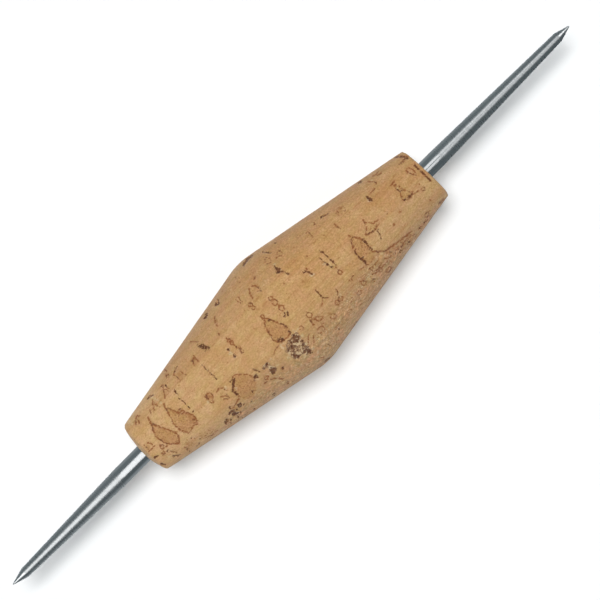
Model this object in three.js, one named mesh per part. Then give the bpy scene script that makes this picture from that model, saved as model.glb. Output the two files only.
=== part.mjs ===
// A double-ended scriber: one steel rod, ground at both ends to a long taper and a short
// conical point, glued through a cork grip. The grip is turned as two slim cones, base to
// base, that meet in a soft ridge for the fingertips.
//
// Millimetres, with Z up. The tool's axis is X and its longer needle points to +X.
// The origin is on the axis, midway between the two tips.

import * as THREE from 'three';

// The rod's sections, from each tip to the cork
const ROD_DIAMETER = 4.76;
const SHOULDER_DIAMETER = 2.65;
const TIP_DIAMETER = 0.24;
const LEFT_POINT_LENGTH = 4.2;
const LEFT_TAPER_LENGTH = 34.1;
const LEFT_SHANK_LENGTH = 7.5;
const RIGHT_POINT_LENGTH = 3.9;
const RIGHT_TAPER_LENGTH = 42.5;
const RIGHT_SHANK_LENGTH = 4.1;

// The grip: each cone's length runs from the ridge, and the ridge's diameter is where the
// two cones would cross if it were left sharp
const GRIP_LEFT_LENGTH = 49.2;
const GRIP_RIGHT_LENGTH = 49.5;
const GRIP_RIDGE_DIAMETER = 33.3;
const GRIP_LEFT_END_DIAMETER = 15.1;
const GRIP_RIGHT_END_DIAMETER = 15.4;
const RIDGE_RADIUS = 23.5;
const LEFT_DOME_RISE = 1.3;
const LEFT_EDGE_RADIUS = 1.2;
const RIGHT_EDGE_RADIUS = 0.6;

// The bore through the cork, and the hardened glue between it and the rod
const BORE_ALLOWANCE = 0.3;
const GLUE_CLEARANCE = 0.05;
const GLUE_RECESS = 2;

// Facets around the axis, and steps along each rounded stretch
const FACETS = 48;
const RIDGE_STEPS = 8;
const DOME_STEPS = 4;
const EDGE_STEPS = 3;

const STEEL = { color: 0x9aa2a6, roughness: 0.28, metalness: 1 };
const CORK = { color: 0xc39a63, roughness: 0.85, metalness: 0 };
const GLUE = { color: 0xcdb98a, roughness: 0.4, metalness: 0 };

const rodRadius = ROD_DIAMETER / 2;
const boreRadius = rodRadius + BORE_ALLOWANCE;
const gripLength = GRIP_LEFT_LENGTH + GRIP_RIGHT_LENGTH;
const leftReach = LEFT_POINT_LENGTH + LEFT_TAPER_LENGTH + LEFT_SHANK_LENGTH;
const rightReach = RIGHT_POINT_LENGTH + RIGHT_TAPER_LENGTH + RIGHT_SHANK_LENGTH;
const rodLength = leftReach + gripLength + rightReach;

// A point of an outline: its distance along the axis, and its radius
const at = (along, radius) => new THREE.Vector2(radius, along);

// The points of a round that takes the place of one corner of an outline
function roundedCorner(before, corner, after, radius, steps) {
  const back = before.clone().sub(corner).normalize();
  const onward = after.clone().sub(corner).normalize();
  const halfAngle = Math.acos(back.dot(onward)) / 2;
  const reach = radius / Math.tan(halfAngle);
  const middle = back.clone().add(onward).normalize();
  const centre = corner.clone().addScaledVector(middle, radius / Math.sin(halfAngle));
  const start = corner.clone().addScaledVector(back, reach).sub(centre);
  const end = corner.clone().addScaledVector(onward, reach).sub(centre);
  const turn = Math.atan2(start.cross(end), start.dot(end));
  const points = [];
  for (let step = 0; step <= steps; step += 1) {
    const spoke = start.clone().rotateAround(new THREE.Vector2(), (turn * step) / steps);
    points.push(centre.clone().add(spoke));
  }
  return points;
}

// A turned piece: its outline swept round the axis, which is the lathe's own Y
function turned(name, outline, look) {
  const geometry = new THREE.LatheGeometry(outline, FACETS);
  const piece = new THREE.Mesh(geometry, new THREE.MeshStandardMaterial(look));
  piece.name = name;
  return piece;
}

// The rod, measured from its left tip
function steelRod() {
  const tipRadius = TIP_DIAMETER / 2;
  const shoulderRadius = SHOULDER_DIAMETER / 2;
  const outline = [
    at(0, 0),
    at(0, tipRadius),
    at(LEFT_POINT_LENGTH, shoulderRadius),
    at(LEFT_POINT_LENGTH + LEFT_TAPER_LENGTH, rodRadius),
    at(rodLength - RIGHT_POINT_LENGTH - RIGHT_TAPER_LENGTH, rodRadius),
    at(rodLength - RIGHT_POINT_LENGTH, shoulderRadius),
    at(rodLength, tipRadius),
    at(rodLength, 0),
  ];
  return turned('steel_rod', outline, STEEL);
}

// The domed left end bulges along a sphere. This is how far its surface lies from the
// crown at a given radius
function domeDrop(radius) {
  const endRadius = GRIP_LEFT_END_DIAMETER / 2;
  const sphere = (endRadius ** 2 + LEFT_DOME_RISE ** 2) / (2 * LEFT_DOME_RISE);
  return sphere - Math.sqrt(sphere ** 2 - radius ** 2);
}

// The grip, measured from the crown of its domed left end
function corkGrip() {
  const leftEndRadius = GRIP_LEFT_END_DIAMETER / 2;
  const dome = [];
  for (let step = 0; step <= DOME_STEPS; step += 1) {
    const radius = THREE.MathUtils.lerp(boreRadius, leftEndRadius, step / DOME_STEPS);
    dome.push(at(domeDrop(radius), radius));
  }
  const leftEdge = dome.pop();
  const ridge = at(GRIP_LEFT_LENGTH, GRIP_RIDGE_DIAMETER / 2);
  const rightEdge = at(gripLength, GRIP_RIGHT_END_DIAMETER / 2);
  const rightBoreEdge = at(gripLength, boreRadius);
  const outline = [
    ...dome,
    ...roundedCorner(dome[dome.length - 1], leftEdge, ridge, LEFT_EDGE_RADIUS, EDGE_STEPS),
    ...roundedCorner(leftEdge, ridge, rightEdge, RIDGE_RADIUS, RIDGE_STEPS),
    ...roundedCorner(ridge, rightEdge, rightBoreEdge, RIGHT_EDGE_RADIUS, EDGE_STEPS),
    rightBoreEdge,
    dome[0],
  ];
  return turned('cork_grip', outline, CORK);
}

// The sleeve of hardened glue, measured like the grip. It stops short of both bore mouths
function glueFilm() {
  const inner = rodRadius + GLUE_CLEARANCE;
  const outer = boreRadius - GLUE_CLEARANCE;
  const start = domeDrop(boreRadius) + GLUE_RECESS;
  const end = gripLength - GLUE_RECESS;
  const outline = [
    at(start, inner),
    at(start, outer),
    at(end, outer),
    at(end, inner),
    at(start, inner),
  ];
  return turned('glue_film', outline, GLUE);
}

const rod = steelRod();
const grip = corkGrip();
const glue = glueFilm();
grip.position.y = leftReach;
glue.position.y = leftReach;

// Lay the tool along X, with the middle of the rod at the origin
const tool = new THREE.Group();
tool.add(rod, grip, glue);
tool.rotation.z = -Math.PI / 2;
tool.position.x = -rodLength / 2;

const scriber = new THREE.Group();
scriber.add(tool);

export default scriber;
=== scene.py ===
# %% [markdown]
# # A double-ended scriber with a cork grip
#
# A scriber scratches fine lines into clay, wax or metal. This one is a single steel rod,
# ground at both ends to a long taper and a short point, and glued through a grip of natural
# cork that is turned as two slim cones, base to base.
#
# The engineering model already holds the sizes, so the lesson starts by loading it as a
# fixed frame and then dresses it: first the camera, the floor and the light, then the rod,
# then the cork. Everything is in metres, so lengths are written as so many `MM`.

# %% The engineering model
import math
import random
from dataclasses import dataclass

import bmesh
import bpy
import numpy as np
from mathutils import Matrix, Vector, noise


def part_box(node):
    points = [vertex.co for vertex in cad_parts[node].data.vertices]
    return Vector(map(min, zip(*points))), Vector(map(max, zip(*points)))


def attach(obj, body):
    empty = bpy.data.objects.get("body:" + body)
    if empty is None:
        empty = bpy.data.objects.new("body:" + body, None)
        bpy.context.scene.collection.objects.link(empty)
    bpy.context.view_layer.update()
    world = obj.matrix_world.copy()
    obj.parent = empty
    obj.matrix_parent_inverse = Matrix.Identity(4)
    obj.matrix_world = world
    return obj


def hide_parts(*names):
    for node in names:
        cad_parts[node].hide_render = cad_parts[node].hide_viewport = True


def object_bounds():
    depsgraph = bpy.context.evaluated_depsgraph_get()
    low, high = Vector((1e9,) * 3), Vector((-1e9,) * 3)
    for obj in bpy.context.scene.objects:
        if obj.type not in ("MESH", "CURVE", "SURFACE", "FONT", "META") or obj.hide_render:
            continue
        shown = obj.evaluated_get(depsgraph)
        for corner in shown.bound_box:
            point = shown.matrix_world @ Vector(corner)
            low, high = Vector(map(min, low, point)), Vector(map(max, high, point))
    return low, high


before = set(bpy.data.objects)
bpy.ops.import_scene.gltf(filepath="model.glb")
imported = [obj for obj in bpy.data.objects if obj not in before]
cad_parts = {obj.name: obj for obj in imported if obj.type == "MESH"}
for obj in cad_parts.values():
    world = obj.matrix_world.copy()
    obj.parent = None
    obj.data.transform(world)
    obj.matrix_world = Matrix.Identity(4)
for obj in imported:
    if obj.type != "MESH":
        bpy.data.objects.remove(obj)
cad_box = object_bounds()
MM = 0.001
print("nodes of the model:", ", ".join(sorted(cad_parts)))

# %% [markdown]
# ## Where it is seen from
#
# The picture looks straight down on the tool, which lies from the lower left corner to the
# upper right one. The camera could be turned by eye until the tool fits. It is surer to
# measure: the size of one pixel gives the distance for a chosen lens, and the pixel under
# the middle of the tool gives the place. A long lens keeps both needles free of perspective.

# %% The camera
PICTURE_WIDTH = 600
PIXEL = 0.2474 * MM
TOOL_MIDDLE_PIXEL = (291.1, 305.27)
TOOL_SLANT = math.radians(45.13)
LENS = 180
SENSOR = 36

camera_height = PICTURE_WIDTH * PIXEL * LENS / SENSOR
picture_right = Vector((math.cos(TOOL_SLANT), -math.sin(TOOL_SLANT), 0))
picture_up = Vector((math.sin(TOOL_SLANT), math.cos(TOOL_SLANT), 0))
right_of_tool = (PICTURE_WIDTH / 2 - TOOL_MIDDLE_PIXEL[0]) * PIXEL
above_tool = (TOOL_MIDDLE_PIXEL[1] - PICTURE_WIDTH / 2) * PIXEL
camera_place = picture_right * right_of_tool + picture_up * above_tool
camera_place.z = camera_height

camera_data = bpy.data.cameras.new("camera")
camera_data.lens = LENS
camera_data.sensor_width = SENSOR
camera = bpy.data.objects.new("camera", camera_data)
camera.location = camera_place
camera.rotation_euler = (0, 0, -TOOL_SLANT)
bpy.context.scene.collection.objects.link(camera)
bpy.context.scene.camera = camera
bpy.context.scene.view_settings.view_transform = "Standard"
print(f"camera {camera_height:.3f} m above the tool's axis")

# %% [markdown]
# ## What it lies on
#
# The tool lies on a white sheet that fades out behind it. A bowl does that from every side:
# it is flat in the middle and rises to a wall far away. The sheet glows a little, as a
# lit-through acrylic sheet does, which keeps the shadow light. The steel must not mirror it,
# because the flanks of the needles are dark, so the bowl is hidden from reflections. The
# wall only has to be seen, so it neither blocks nor throws light.

# %% Helpers for nodes, materials and pieces
def fill(tree, socket, value):
    """Puts another node's output or a plain value into a socket."""
    if isinstance(value, bpy.types.NodeSocket):
        tree.links.new(value, socket)
    else:
        socket.default_value = value


def add(tree, kind, sockets=None, **settings):
    """A new node in a tree, with its settings made and its sockets filled."""
    node = tree.nodes.new(kind)
    for name, value in settings.items():
        setattr(node, name, value)
    for name, value in (sockets or {}).items():
        fill(tree, node.inputs[name], value)
    return node


def arithmetic(tree, operation, *values):
    """One step of arithmetic on sockets or numbers."""
    node = add(tree, "ShaderNodeMath", operation=operation)
    for socket, value in zip(node.inputs, values):
        fill(tree, socket, value)
    return node.outputs[0]


def ramp(tree, value, low, high, to_low=0.0, to_high=1.0, smooth=True):
    """Maps a value from one range to another, softly unless asked otherwise."""
    return add(tree, "ShaderNodeMapRange",
               {"Value": value, "From Min": low, "From Max": high, "To Min": to_low, "To Max": to_high},
               interpolation_type="SMOOTHSTEP" if smooth else "LINEAR").outputs["Result"]


def blend_colours(tree, share, first, second, mode="MIX"):
    """Two colours mixed in some share."""
    return add(tree, "ShaderNodeMix", {0: share, 6: first, 7: second},
               data_type="RGBA", blend_type=mode).outputs[2]


def pattern(tree, coordinates, spacing, detail=2.0, roughness=0.5):
    """Noise whose blots measure so many metres along X, Y and Z, from 0 to 1."""
    scaled = add(tree, "ShaderNodeVectorMath", {0: coordinates, 1: tuple(1 / size for size in spacing)},
                 operation="MULTIPLY")
    return add(tree, "ShaderNodeTexNoise", {"Vector": scaled.outputs[0], "Scale": 1.0, "Detail": detail,
               "Roughness": roughness}).outputs["Fac"]


def new_material(name, finish):
    """A material with a shader, set by the names of its sockets, and an output."""
    material = bpy.data.materials.new(name)
    material.use_nodes = True
    tree = material.node_tree
    tree.nodes.clear()
    shader = add(tree, "ShaderNodeBsdfPrincipled", finish)
    add(tree, "ShaderNodeOutputMaterial", {"Surface": shader.outputs["BSDF"]})
    return material, tree, shader


def new_piece(name, mesh):
    """An object at the origin, in the scene."""
    piece = bpy.data.objects.new(name, mesh)
    bpy.context.scene.collection.objects.link(piece)
    return piece


print("helpers ready: nodes, arithmetic, ramps, colours, patterns, materials and pieces")

# %% The floor and the wall
FLOOR_GAP = 0.02 * MM
FLOOR_REACH = 1.3
WALL_RADIUS = 0.9
WALL_STEPS = 12
BOWL_SIDES = 96
FLOOR_WHITE = (0.8, 0.8, 0.8, 1)
WALL_BLACK = (0, 0, 0, 1)
GLOW_WHITE = (1, 1, 1, 1)
FLOOR_GLOW = 0.14
WALL_GLOW = 1.1

floor_height = cad_box[0][2] - FLOOR_GAP


def bowl_part(name, outline, finish):
    """A turned sheet from an outline of (radius, height) points. The first may be the middle."""
    mesh = bmesh.new()
    rings = []
    for radius, height in outline:
        count = BOWL_SIDES if radius else 1
        turns = [2 * math.pi * side / count for side in range(count)]
        rings.append([mesh.verts.new((radius * math.cos(turn), radius * math.sin(turn), height))
                      for turn in turns])
    for inner, outer in zip(rings, rings[1:]):
        for side in range(BOWL_SIDES):
            after = (side + 1) % BOWL_SIDES
            if len(inner) == 1:
                mesh.faces.new((inner[0], outer[side], outer[after]))
            else:
                mesh.faces.new((inner[side], outer[side], outer[after], inner[after]))
    data = bpy.data.meshes.new(name)
    mesh.to_mesh(data)
    mesh.free()
    data.shade_smooth()
    white, _, _ = new_material(name + "_white",
                               {"Specular IOR Level": 0, "Emission Color": GLOW_WHITE, **finish})
    data.materials.append(white)
    part = new_piece(name, data)
    part.visible_glossy = False
    return part


bowl_part("floor", [(0, floor_height), (FLOOR_REACH, floor_height)],
          {"Base Color": FLOOR_WHITE, "Roughness": 1, "Emission Strength": FLOOR_GLOW})
wall_turns = [math.pi / 2 * step / WALL_STEPS for step in range(WALL_STEPS + 1)]
wall = bowl_part("wall", [(FLOOR_REACH + WALL_RADIUS * math.sin(turn),
                           floor_height + WALL_RADIUS * (1 - math.cos(turn))) for turn in wall_turns],
                 {"Base Color": WALL_BLACK, "Emission Strength": WALL_GLOW})
wall.visible_diffuse = False
wall.visible_shadow = False
print(f"floor at {floor_height / MM:.2f} mm, wall from {FLOOR_REACH} m")

# %% [markdown]
# ## The light
#
# One broad lamp almost overhead leans towards the tool's far side, so a soft shadow of even
# width falls along its near side. It is a sun, because a sun lights the whole floor alike.
# Weak lamps low on all four sides lift the flanks of the cork.
#
# Polished steel shows its surroundings rather than the lamps. White cards above the tool
# give the needles their bright bands, with a gap between two of them where the camera looks
# through, and two cards far out catch the short cones at the tips. The room around is a dim
# grey green, paler below, where a room has its floor. The cards light nothing else.

# %% Lamps and cards
SUN_LEAN = math.radians(9)
SUN_WIDTH = math.radians(20.5)
SUN_STRENGTH = 0.88 * math.pi
SIDE_LAMP_DISTANCE = 1.2
SIDE_LAMP_RISE = math.radians(20)
SIDE_LAMP_SIZE = 0.9
# Each side lamp: the way to it along X and Y, then its radiance
SIDE_LAMPS = {
    "far": ((0, 1), 0.06),
    "near": ((0, -1), 0.8),
    "left": ((-1, 0), 0.5),
    "right": ((1, 0), 0.5),
}
CARD_HEIGHT = 1.25
# Each card: its radiance, then its reach along X and along Y in metres
CARDS = {
    "left_card": (1.5, (-0.21, -0.02), (-0.95, 0.8)),
    "left_taper_card": (1.3, (-0.65, -0.21), (-0.62, 0.46)),
    "left_tip_card": (2.6, (-1.6, -0.8), (-0.6, 0.6)),
    "right_far_card": (1.15, (0.0, 0.185), (0.09, 0.85)),
    "right_near_card": (1.05, (0.0, 0.185), (-0.9, -0.13)),
    "right_far_taper_card": (1.0, (0.185, 0.65), (0.06, 0.62)),
    "right_near_taper_card": (0.76, (0.185, 0.65), (-0.62, -0.08)),
    "right_tip_card": (2.05, (0.85, 1.7), (-0.6, 0.6)),
}


def lamp(name, kind, energy, place, seen_in_steel, **settings):
    """A lamp that shines from a place towards the origin, hidden from the camera."""
    data = bpy.data.lights.new(name, kind)
    data.energy = energy
    for key, value in settings.items():
        setattr(data, key, value)
    shining = new_piece(name, data)
    shining.location = place
    shining.rotation_euler = Vector(place).to_track_quat("Z", "Y").to_euler()
    shining.visible_camera = False
    shining.visible_glossy = seen_in_steel
    shining.visible_diffuse = not seen_in_steel
    return shining


def watts(radiance, width, depth):
    """The energy that gives a flat lamp of some size a wanted radiance."""
    return radiance * math.pi * width * depth


sun_place = (0, math.sin(SUN_LEAN), math.cos(SUN_LEAN))
lamp("main_lamp", "SUN", SUN_STRENGTH, sun_place, False, angle=SUN_WIDTH)

side_energy = watts(1, SIDE_LAMP_SIZE, SIDE_LAMP_SIZE)
away, rise = SIDE_LAMP_DISTANCE * math.cos(SIDE_LAMP_RISE), SIDE_LAMP_DISTANCE * math.sin(SIDE_LAMP_RISE)
for side, (way, radiance) in SIDE_LAMPS.items():
    lamp(f"{side}_lamp", "AREA", radiance * side_energy, (way[0] * away, way[1] * away, rise), False,
         size=SIDE_LAMP_SIZE)

for name, (radiance, (left, right), (near, far)) in CARDS.items():
    card = lamp(name, "AREA", watts(radiance, right - left, far - near), (0, 0, CARD_HEIGHT), True,
                shape="RECTANGLE", size=right - left, size_y=far - near)
    card.rotation_euler = (0, 0, 0)
    card.location = ((left + right) / 2, (near + far) / 2, CARD_HEIGHT)
print("lamps:", len(SIDE_LAMPS) + 1, "cards:", len(CARDS))

# %% The room around
ROOM_DIM = (0.118, 0.142, 0.152, 1)
ROOM_FAR_SIDE = (0.17, 0.205, 0.218, 1)
ROOM_BELOW = (0.33, 0.37, 0.385, 1)
ROOM_NEAR_RIGHT = (0.115, 0.14, 0.15, 1)

room = bpy.data.worlds.new("room")
room.use_nodes = True
room_tree = room.node_tree
way = add(room_tree, "ShaderNodeSeparateXYZ",
          {"Vector": add(room_tree, "ShaderNodeTexCoord").outputs["Object"]}).outputs
far_side = ramp(room_tree, way["Y"], -0.2, 0.7, smooth=False)
below = ramp(room_tree, way["Z"], 0.15, -0.45, smooth=False)
near_right = arithmetic(room_tree, "MULTIPLY", ramp(room_tree, way["X"], -0.02, 0.05, smooth=False),
                        ramp(room_tree, way["Y"], 0.0, -0.3, smooth=False))
room_colour = blend_colours(room_tree, far_side, ROOM_DIM, ROOM_FAR_SIDE)
room_colour = blend_colours(room_tree, below, room_colour, ROOM_BELOW)
room_colour = blend_colours(room_tree, near_right, room_colour, ROOM_NEAR_RIGHT)
room_tree.links.new(room_colour, room_tree.nodes["Background"].inputs["Color"])
bpy.context.scene.world = room
print("room:", room.name)

# %% [markdown]
# ## The steel rod
#
# The rod is drawn round stock, so it is bright and smooth beside the cork. Both ends were
# ground by spinning the rod against a wheel, which leaves fine marks around it. A stretched
# cylinder would give the shape but not the ground surface. A lathe does both: a line of
# points along the axis, each with the radius that the rod has there, is swept with a circle.
# Geometry Nodes do the sweep, because the whole rod follows that one rule, and they can
# make the ground stretches a little uneven on the way, as a hand at the wheel does.

# %% The rod's outline, read from the frame
RING_SPACING = 0.2 * MM
HIDDEN_SPACING = 4 * MM
HIDDEN_MARGIN = 2 * MM
ROUND_TIP_STEPS = 5
ROUND_TIP_FLATNESS = 0.9


def outline_of(node):
    """Where the outline of a turned node bends, as (place along X, greatest radius) pairs."""
    greatest = {}
    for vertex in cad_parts[node].data.vertices:
        place = round(vertex.co.x, 6)
        radius = math.hypot(vertex.co.y, vertex.co.z)
        greatest[place] = max(greatest.get(place, 0), radius)
    return sorted(greatest.items())


bends = outline_of("steel_rod")
cork_left, cork_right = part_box("cork_grip")[0].x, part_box("cork_grip")[1].x


def round_tip(tip, radius, inwards):
    """The rings that round off a tip, as (place, radius) pairs from the outermost one inwards."""
    turns = [math.pi / 2 * (step + 0.5) / ROUND_TIP_STEPS for step in reversed(range(ROUND_TIP_STEPS))]
    return [(tip + inwards * radius * (1 - math.sin(turn)) * ROUND_TIP_FLATNESS, radius * math.cos(turn))
            for turn in turns]


def rod_rings():
    """The rings of the rod as (place, radius) pairs: close together where the rod shows."""
    (left_tip, tip_radius), right_tip = bends[0], bends[-1][0]
    rings = []
    place = left_tip
    while place < right_tip:
        rings.append(place)
        hidden = cork_left + HIDDEN_MARGIN < place < cork_right - HIDDEN_MARGIN
        place += HIDDEN_SPACING if hidden else RING_SPACING
    places, radii = zip(*bends)
    rings = [(ring, float(np.interp(ring, places, radii))) for ring in rings[1:-1]]
    return round_tip(left_tip, tip_radius, 1) + rings + round_tip(right_tip, tip_radius, -1)[::-1]


rings = rod_rings()
rod_line = bpy.data.meshes.new("rod_line")
rod_line.from_pydata([(place, 0, 0) for place, radius in rings],
                     [(ring, ring + 1) for ring in range(len(rings) - 1)], [])
rod_line.attributes.new("ring_radius", "FLOAT", "POINT").data.foreach_set(
    "value", [radius for place, radius in rings])
print("rings along the rod:", len(rings), "bends:", len(bends))

# %% Helpers for Geometry Nodes
def new_tree(name, inputs):
    """A geometry tree with named inputs, given as name: (socket type, value)."""
    tree = bpy.data.node_groups.new(name, "GeometryNodeTree")
    tree.is_modifier = True
    tree.interface.new_socket("Geometry", in_out="INPUT", socket_type="NodeSocketGeometry")
    for label, (kind, value) in inputs.items():
        socket = tree.interface.new_socket(label, in_out="INPUT", socket_type=kind)
        if kind != "NodeSocketMaterial":
            socket.default_value = value
    tree.interface.new_socket("Geometry", in_out="OUTPUT", socket_type="NodeSocketGeometry")
    return tree, add(tree, "NodeGroupInput").outputs


def carried(tree, name):
    """A value that the mesh carries at each of its points."""
    value = add(tree, "GeometryNodeInputNamedAttribute", {"Name": name}, data_type="FLOAT")
    return value.outputs["Attribute"]


def finish_tree(tree, geometry, direction, distance, material):
    """The end that every tree has: the surface is moved, made real and given its material."""
    push = add(tree, "ShaderNodeVectorMath", {0: direction, "Scale": distance}, operation="SCALE")
    moved = add(tree, "GeometryNodeSetPosition", {"Geometry": geometry, "Offset": push.outputs[0]})
    real = add(tree, "GeometryNodeRealizeInstances", {"Geometry": moved.outputs[0]})
    smooth = add(tree, "GeometryNodeSetShadeSmooth", {"Geometry": real.outputs[0]})
    dressed = add(tree, "GeometryNodeSetMaterial", {"Geometry": smooth.outputs[0], "Material": material})
    add(tree, "NodeGroupOutput", {"Geometry": dressed.outputs[0]})


def made_by(tree, name, start, values):
    """The plain mesh that a tree makes from a start mesh, with its named inputs set."""
    maker = new_piece(name + "_maker", start)
    modifier = maker.modifiers.new(tree.name, "NODES")
    modifier.node_group = tree
    for item in tree.interface.items_tree:
        if item.item_type == "SOCKET" and item.in_out == "INPUT" and item.name in values:
            modifier[item.identifier] = values[item.name]
    evaluated = maker.evaluated_get(bpy.context.evaluated_depsgraph_get())
    mesh = bpy.data.meshes.new_from_object(evaluated)
    bpy.data.objects.remove(maker)
    mesh.name = name
    return mesh


print("helpers ready: trees and the meshes that they make")

# %% Steel that is smooth where it was drawn and streaked where it was ground
STEEL_COLOUR = (0.6, 0.61, 0.615, 1)
DRAWN_ROUGHNESS = 0.2
GROUND_ROUGHNESS = 0.28
GROUND_FADE = 1.5 * MM
GROOVE_DEPTH = 0.02 * MM
left_taper_end, right_taper_start = bends[2][0], bends[3][0]


def ground_share(tree, along):
    """1 on the two ground tapers and 0 on the drawn stock between them."""
    left = ramp(tree, along, left_taper_end - GROUND_FADE, left_taper_end, 1.0, 0.0)
    right = ramp(tree, along, right_taper_start, right_taper_start + GROUND_FADE)
    return arithmetic(tree, "MAXIMUM", left, right)


def steel():
    material, tree, shader = new_material("ground_steel", {"Metallic": 1})
    place = add(tree, "ShaderNodeTexCoord").outputs["Object"]
    along = add(tree, "ShaderNodeSeparateXYZ", {"Vector": place}).outputs["X"]
    ground = ground_share(tree, along)
    streaks = pattern(tree, place, (0.16 * MM, 1.6 * MM, 1.6 * MM), 3.0, 0.6)
    coarse = pattern(tree, place, (0.5 * MM, 2.2 * MM, 2.2 * MM))
    clouds = pattern(tree, place, (5 * MM, 3 * MM, 3 * MM))
    tone = ramp(tree, streaks, 0.35, 0.7, 0.84, 1.06)
    dull = arithmetic(tree, "MULTIPLY", ground, ramp(tree, clouds, 0.3, 0.7, 0.3, 1.0))
    tree.links.new(blend_colours(tree, dull, STEEL_COLOUR, tone, "MULTIPLY"), shader.inputs["Base Color"])
    rough = arithmetic(tree, "MULTIPLY_ADD", ground, GROUND_ROUGHNESS - DRAWN_ROUGHNESS, DRAWN_ROUGHNESS)
    uneven = arithmetic(tree, "MULTIPLY_ADD", coarse, 0.12, -0.06)
    tree.links.new(arithmetic(tree, "ADD", rough, uneven), shader.inputs["Roughness"])
    grooves = arithmetic(tree, "ADD", streaks, coarse)
    strength = arithmetic(tree, "MULTIPLY_ADD", ground, 0.55, 0.04)
    bump = add(tree, "ShaderNodeBump", {"Height": grooves, "Strength": strength, "Distance": GROOVE_DEPTH})
    tree.links.new(bump.outputs[0], shader.inputs["Normal"])
    return material


ground_steel = steel()
print("material:", ground_steel.name)

# %% The rod is turned
ROD_SIDES = 96
ROD_UNEVENNESS = 0.012


def turning_tree():
    """Sweeps a circle along a line of rings, and makes the ground stretches a little uneven."""
    tree, given = new_tree("turned_rod", {
        "Sides": ("NodeSocketInt", ROD_SIDES),
        "Unevenness": ("NodeSocketFloat", ROD_UNEVENNESS),
        "Taper Start Left": ("NodeSocketFloat", left_taper_end),
        "Taper Start Right": ("NodeSocketFloat", right_taper_start),
        "Material": ("NodeSocketMaterial", None),
    })
    line = add(tree, "GeometryNodeMeshToCurve", {"Mesh": given["Geometry"]})
    circle = add(tree, "GeometryNodeCurvePrimitiveCircle", {"Resolution": given["Sides"], "Radius": 1.0})
    swept = add(tree, "GeometryNodeCurveToMesh", {"Curve": line.outputs[0], "Fill Caps": True,
                "Profile Curve": circle.outputs["Curve"], "Scale": carried(tree, "ring_radius")})
    place = add(tree, "GeometryNodeInputPosition").outputs[0]
    parts = add(tree, "ShaderNodeSeparateXYZ", {"Vector": place}).outputs
    left = arithmetic(tree, "LESS_THAN", parts["X"], given["Taper Start Left"])
    right = arithmetic(tree, "GREATER_THAN", parts["X"], given["Taper Start Right"])
    ground = arithmetic(tree, "ADD", left, right)
    uneven = arithmetic(tree, "SUBTRACT", pattern(tree, place, (1.1 * MM, 2.9 * MM, 2.9 * MM)), 0.5)
    height = arithmetic(tree, "MULTIPLY", uneven, arithmetic(tree, "MULTIPLY", ground, given["Unevenness"]))
    outwards = add(tree, "ShaderNodeCombineXYZ", {"Y": parts["Y"], "Z": parts["Z"]})
    finish_tree(tree, swept.outputs[0], outwards.outputs[0], height, given["Material"])
    return tree


rod_mesh = made_by(turning_tree(), "turned_steel_rod", rod_line, {
    "Sides": ROD_SIDES,
    "Unevenness": ROD_UNEVENNESS,
    "Taper Start Left": left_taper_end,
    "Taper Start Right": right_taper_start,
    "Material": ground_steel,
})
print("rod faces:", len(rod_mesh.polygons))

# %% [markdown]
# ### A map for the rod's finish
#
# So that these materials can be baked into pictures for programs that can't run them, each
# piece carries a map that lays its surface out flat. An automatic map would cut the rod into
# odd slivers. The rod unrolls into strips instead, with every cut hidden inside the cork.

# %% Unrolling
def read_each(items, name, kind, width=1):
    """A value, or a row of values, for each item of a mesh."""
    values = np.empty(len(items) * width, kind)
    items.foreach_get(name, values)
    return values.reshape(-1, width) if width > 1 else values


def face_mean(mesh, values):
    """The mean over each face of its corners' values, given back to every corner."""
    sizes = read_each(mesh.polygons, "loop_total", int)
    starts = np.concatenate(([0], np.cumsum(sizes)[:-1]))
    sums = np.add.reduceat(values, starts, axis=0)
    return np.repeat((sums.T / sizes).T, sizes, axis=0)


def corner_values(mesh):
    """Each face corner's vertex and position, and its face's centre."""
    corners = read_each(mesh.loops, "vertex_index", int)
    points = read_each(mesh.vertices, "co", float, 3)[corners]
    return corners, points, face_mean(mesh, points)


def turns_of(points, centres):
    """How far round the X axis each corner lies, in turns close to its face's own."""
    turns, near = (np.arctan2(each[:, 2], each[:, 1]) / (2 * math.pi) + 0.5 for each in (points, centres))
    return turns + np.round(near - turns)


def set_map(mesh, places):
    """Stores the flat layout that the finish can be baked to."""
    layer = mesh.uv_layers.new(name="OFBake")
    layer.data.foreach_set("uv", places.astype(np.float32).ravel())


STRIP_CUTS = np.array([bends[0][0], -50 * MM, 0.0, 46 * MM, bends[-1][0]])
STRIPS = len(STRIP_CUTS) - 1
STRIP_MARGIN = 0.006


def map_rod(mesh):
    _, points, centres = corner_values(mesh)
    strip = np.clip(np.searchsorted(STRIP_CUTS, centres[:, 0]) - 1, 0, STRIPS - 1)
    starts, ends = STRIP_CUTS[strip], STRIP_CUTS[strip + 1]
    across = STRIP_MARGIN + (points[:, 0] - starts) / (ends - starts) * (1 - 2 * STRIP_MARGIN)
    around = 4 * STRIP_MARGIN + turns_of(points, centres) * (1 - 8 * STRIP_MARGIN)
    set_map(mesh, np.column_stack((np.clip(across, 0, 1), (strip + around) / STRIPS)))


map_rod(rod_mesh)
rod = new_piece("turned_steel_rod", rod_mesh)
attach(rod, "root")
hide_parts("steel_rod")
print("rod mapped in", STRIPS, "strips")

# %% [markdown]
# ## The cork grip
#
# Cork is bark. Fine channels run through it from the outside of the tree inwards, and where
# the lathe cuts them along their length they show as slits, leaves and triangles lined with
# reddish brown. Where it cuts them end on, they are pits and rings. A smooth turned shape
# with a picture of cork on it looks flat up close, so here the marks are real hollows.
#
# That takes a fine mesh, but only at the marks. So the grip starts as a coarse turned
# shape, each mark is a short line in millimetres as seen from one side, and the mesh is
# split again only where a mark passes. Geometry Nodes then press the marks in.

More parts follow.
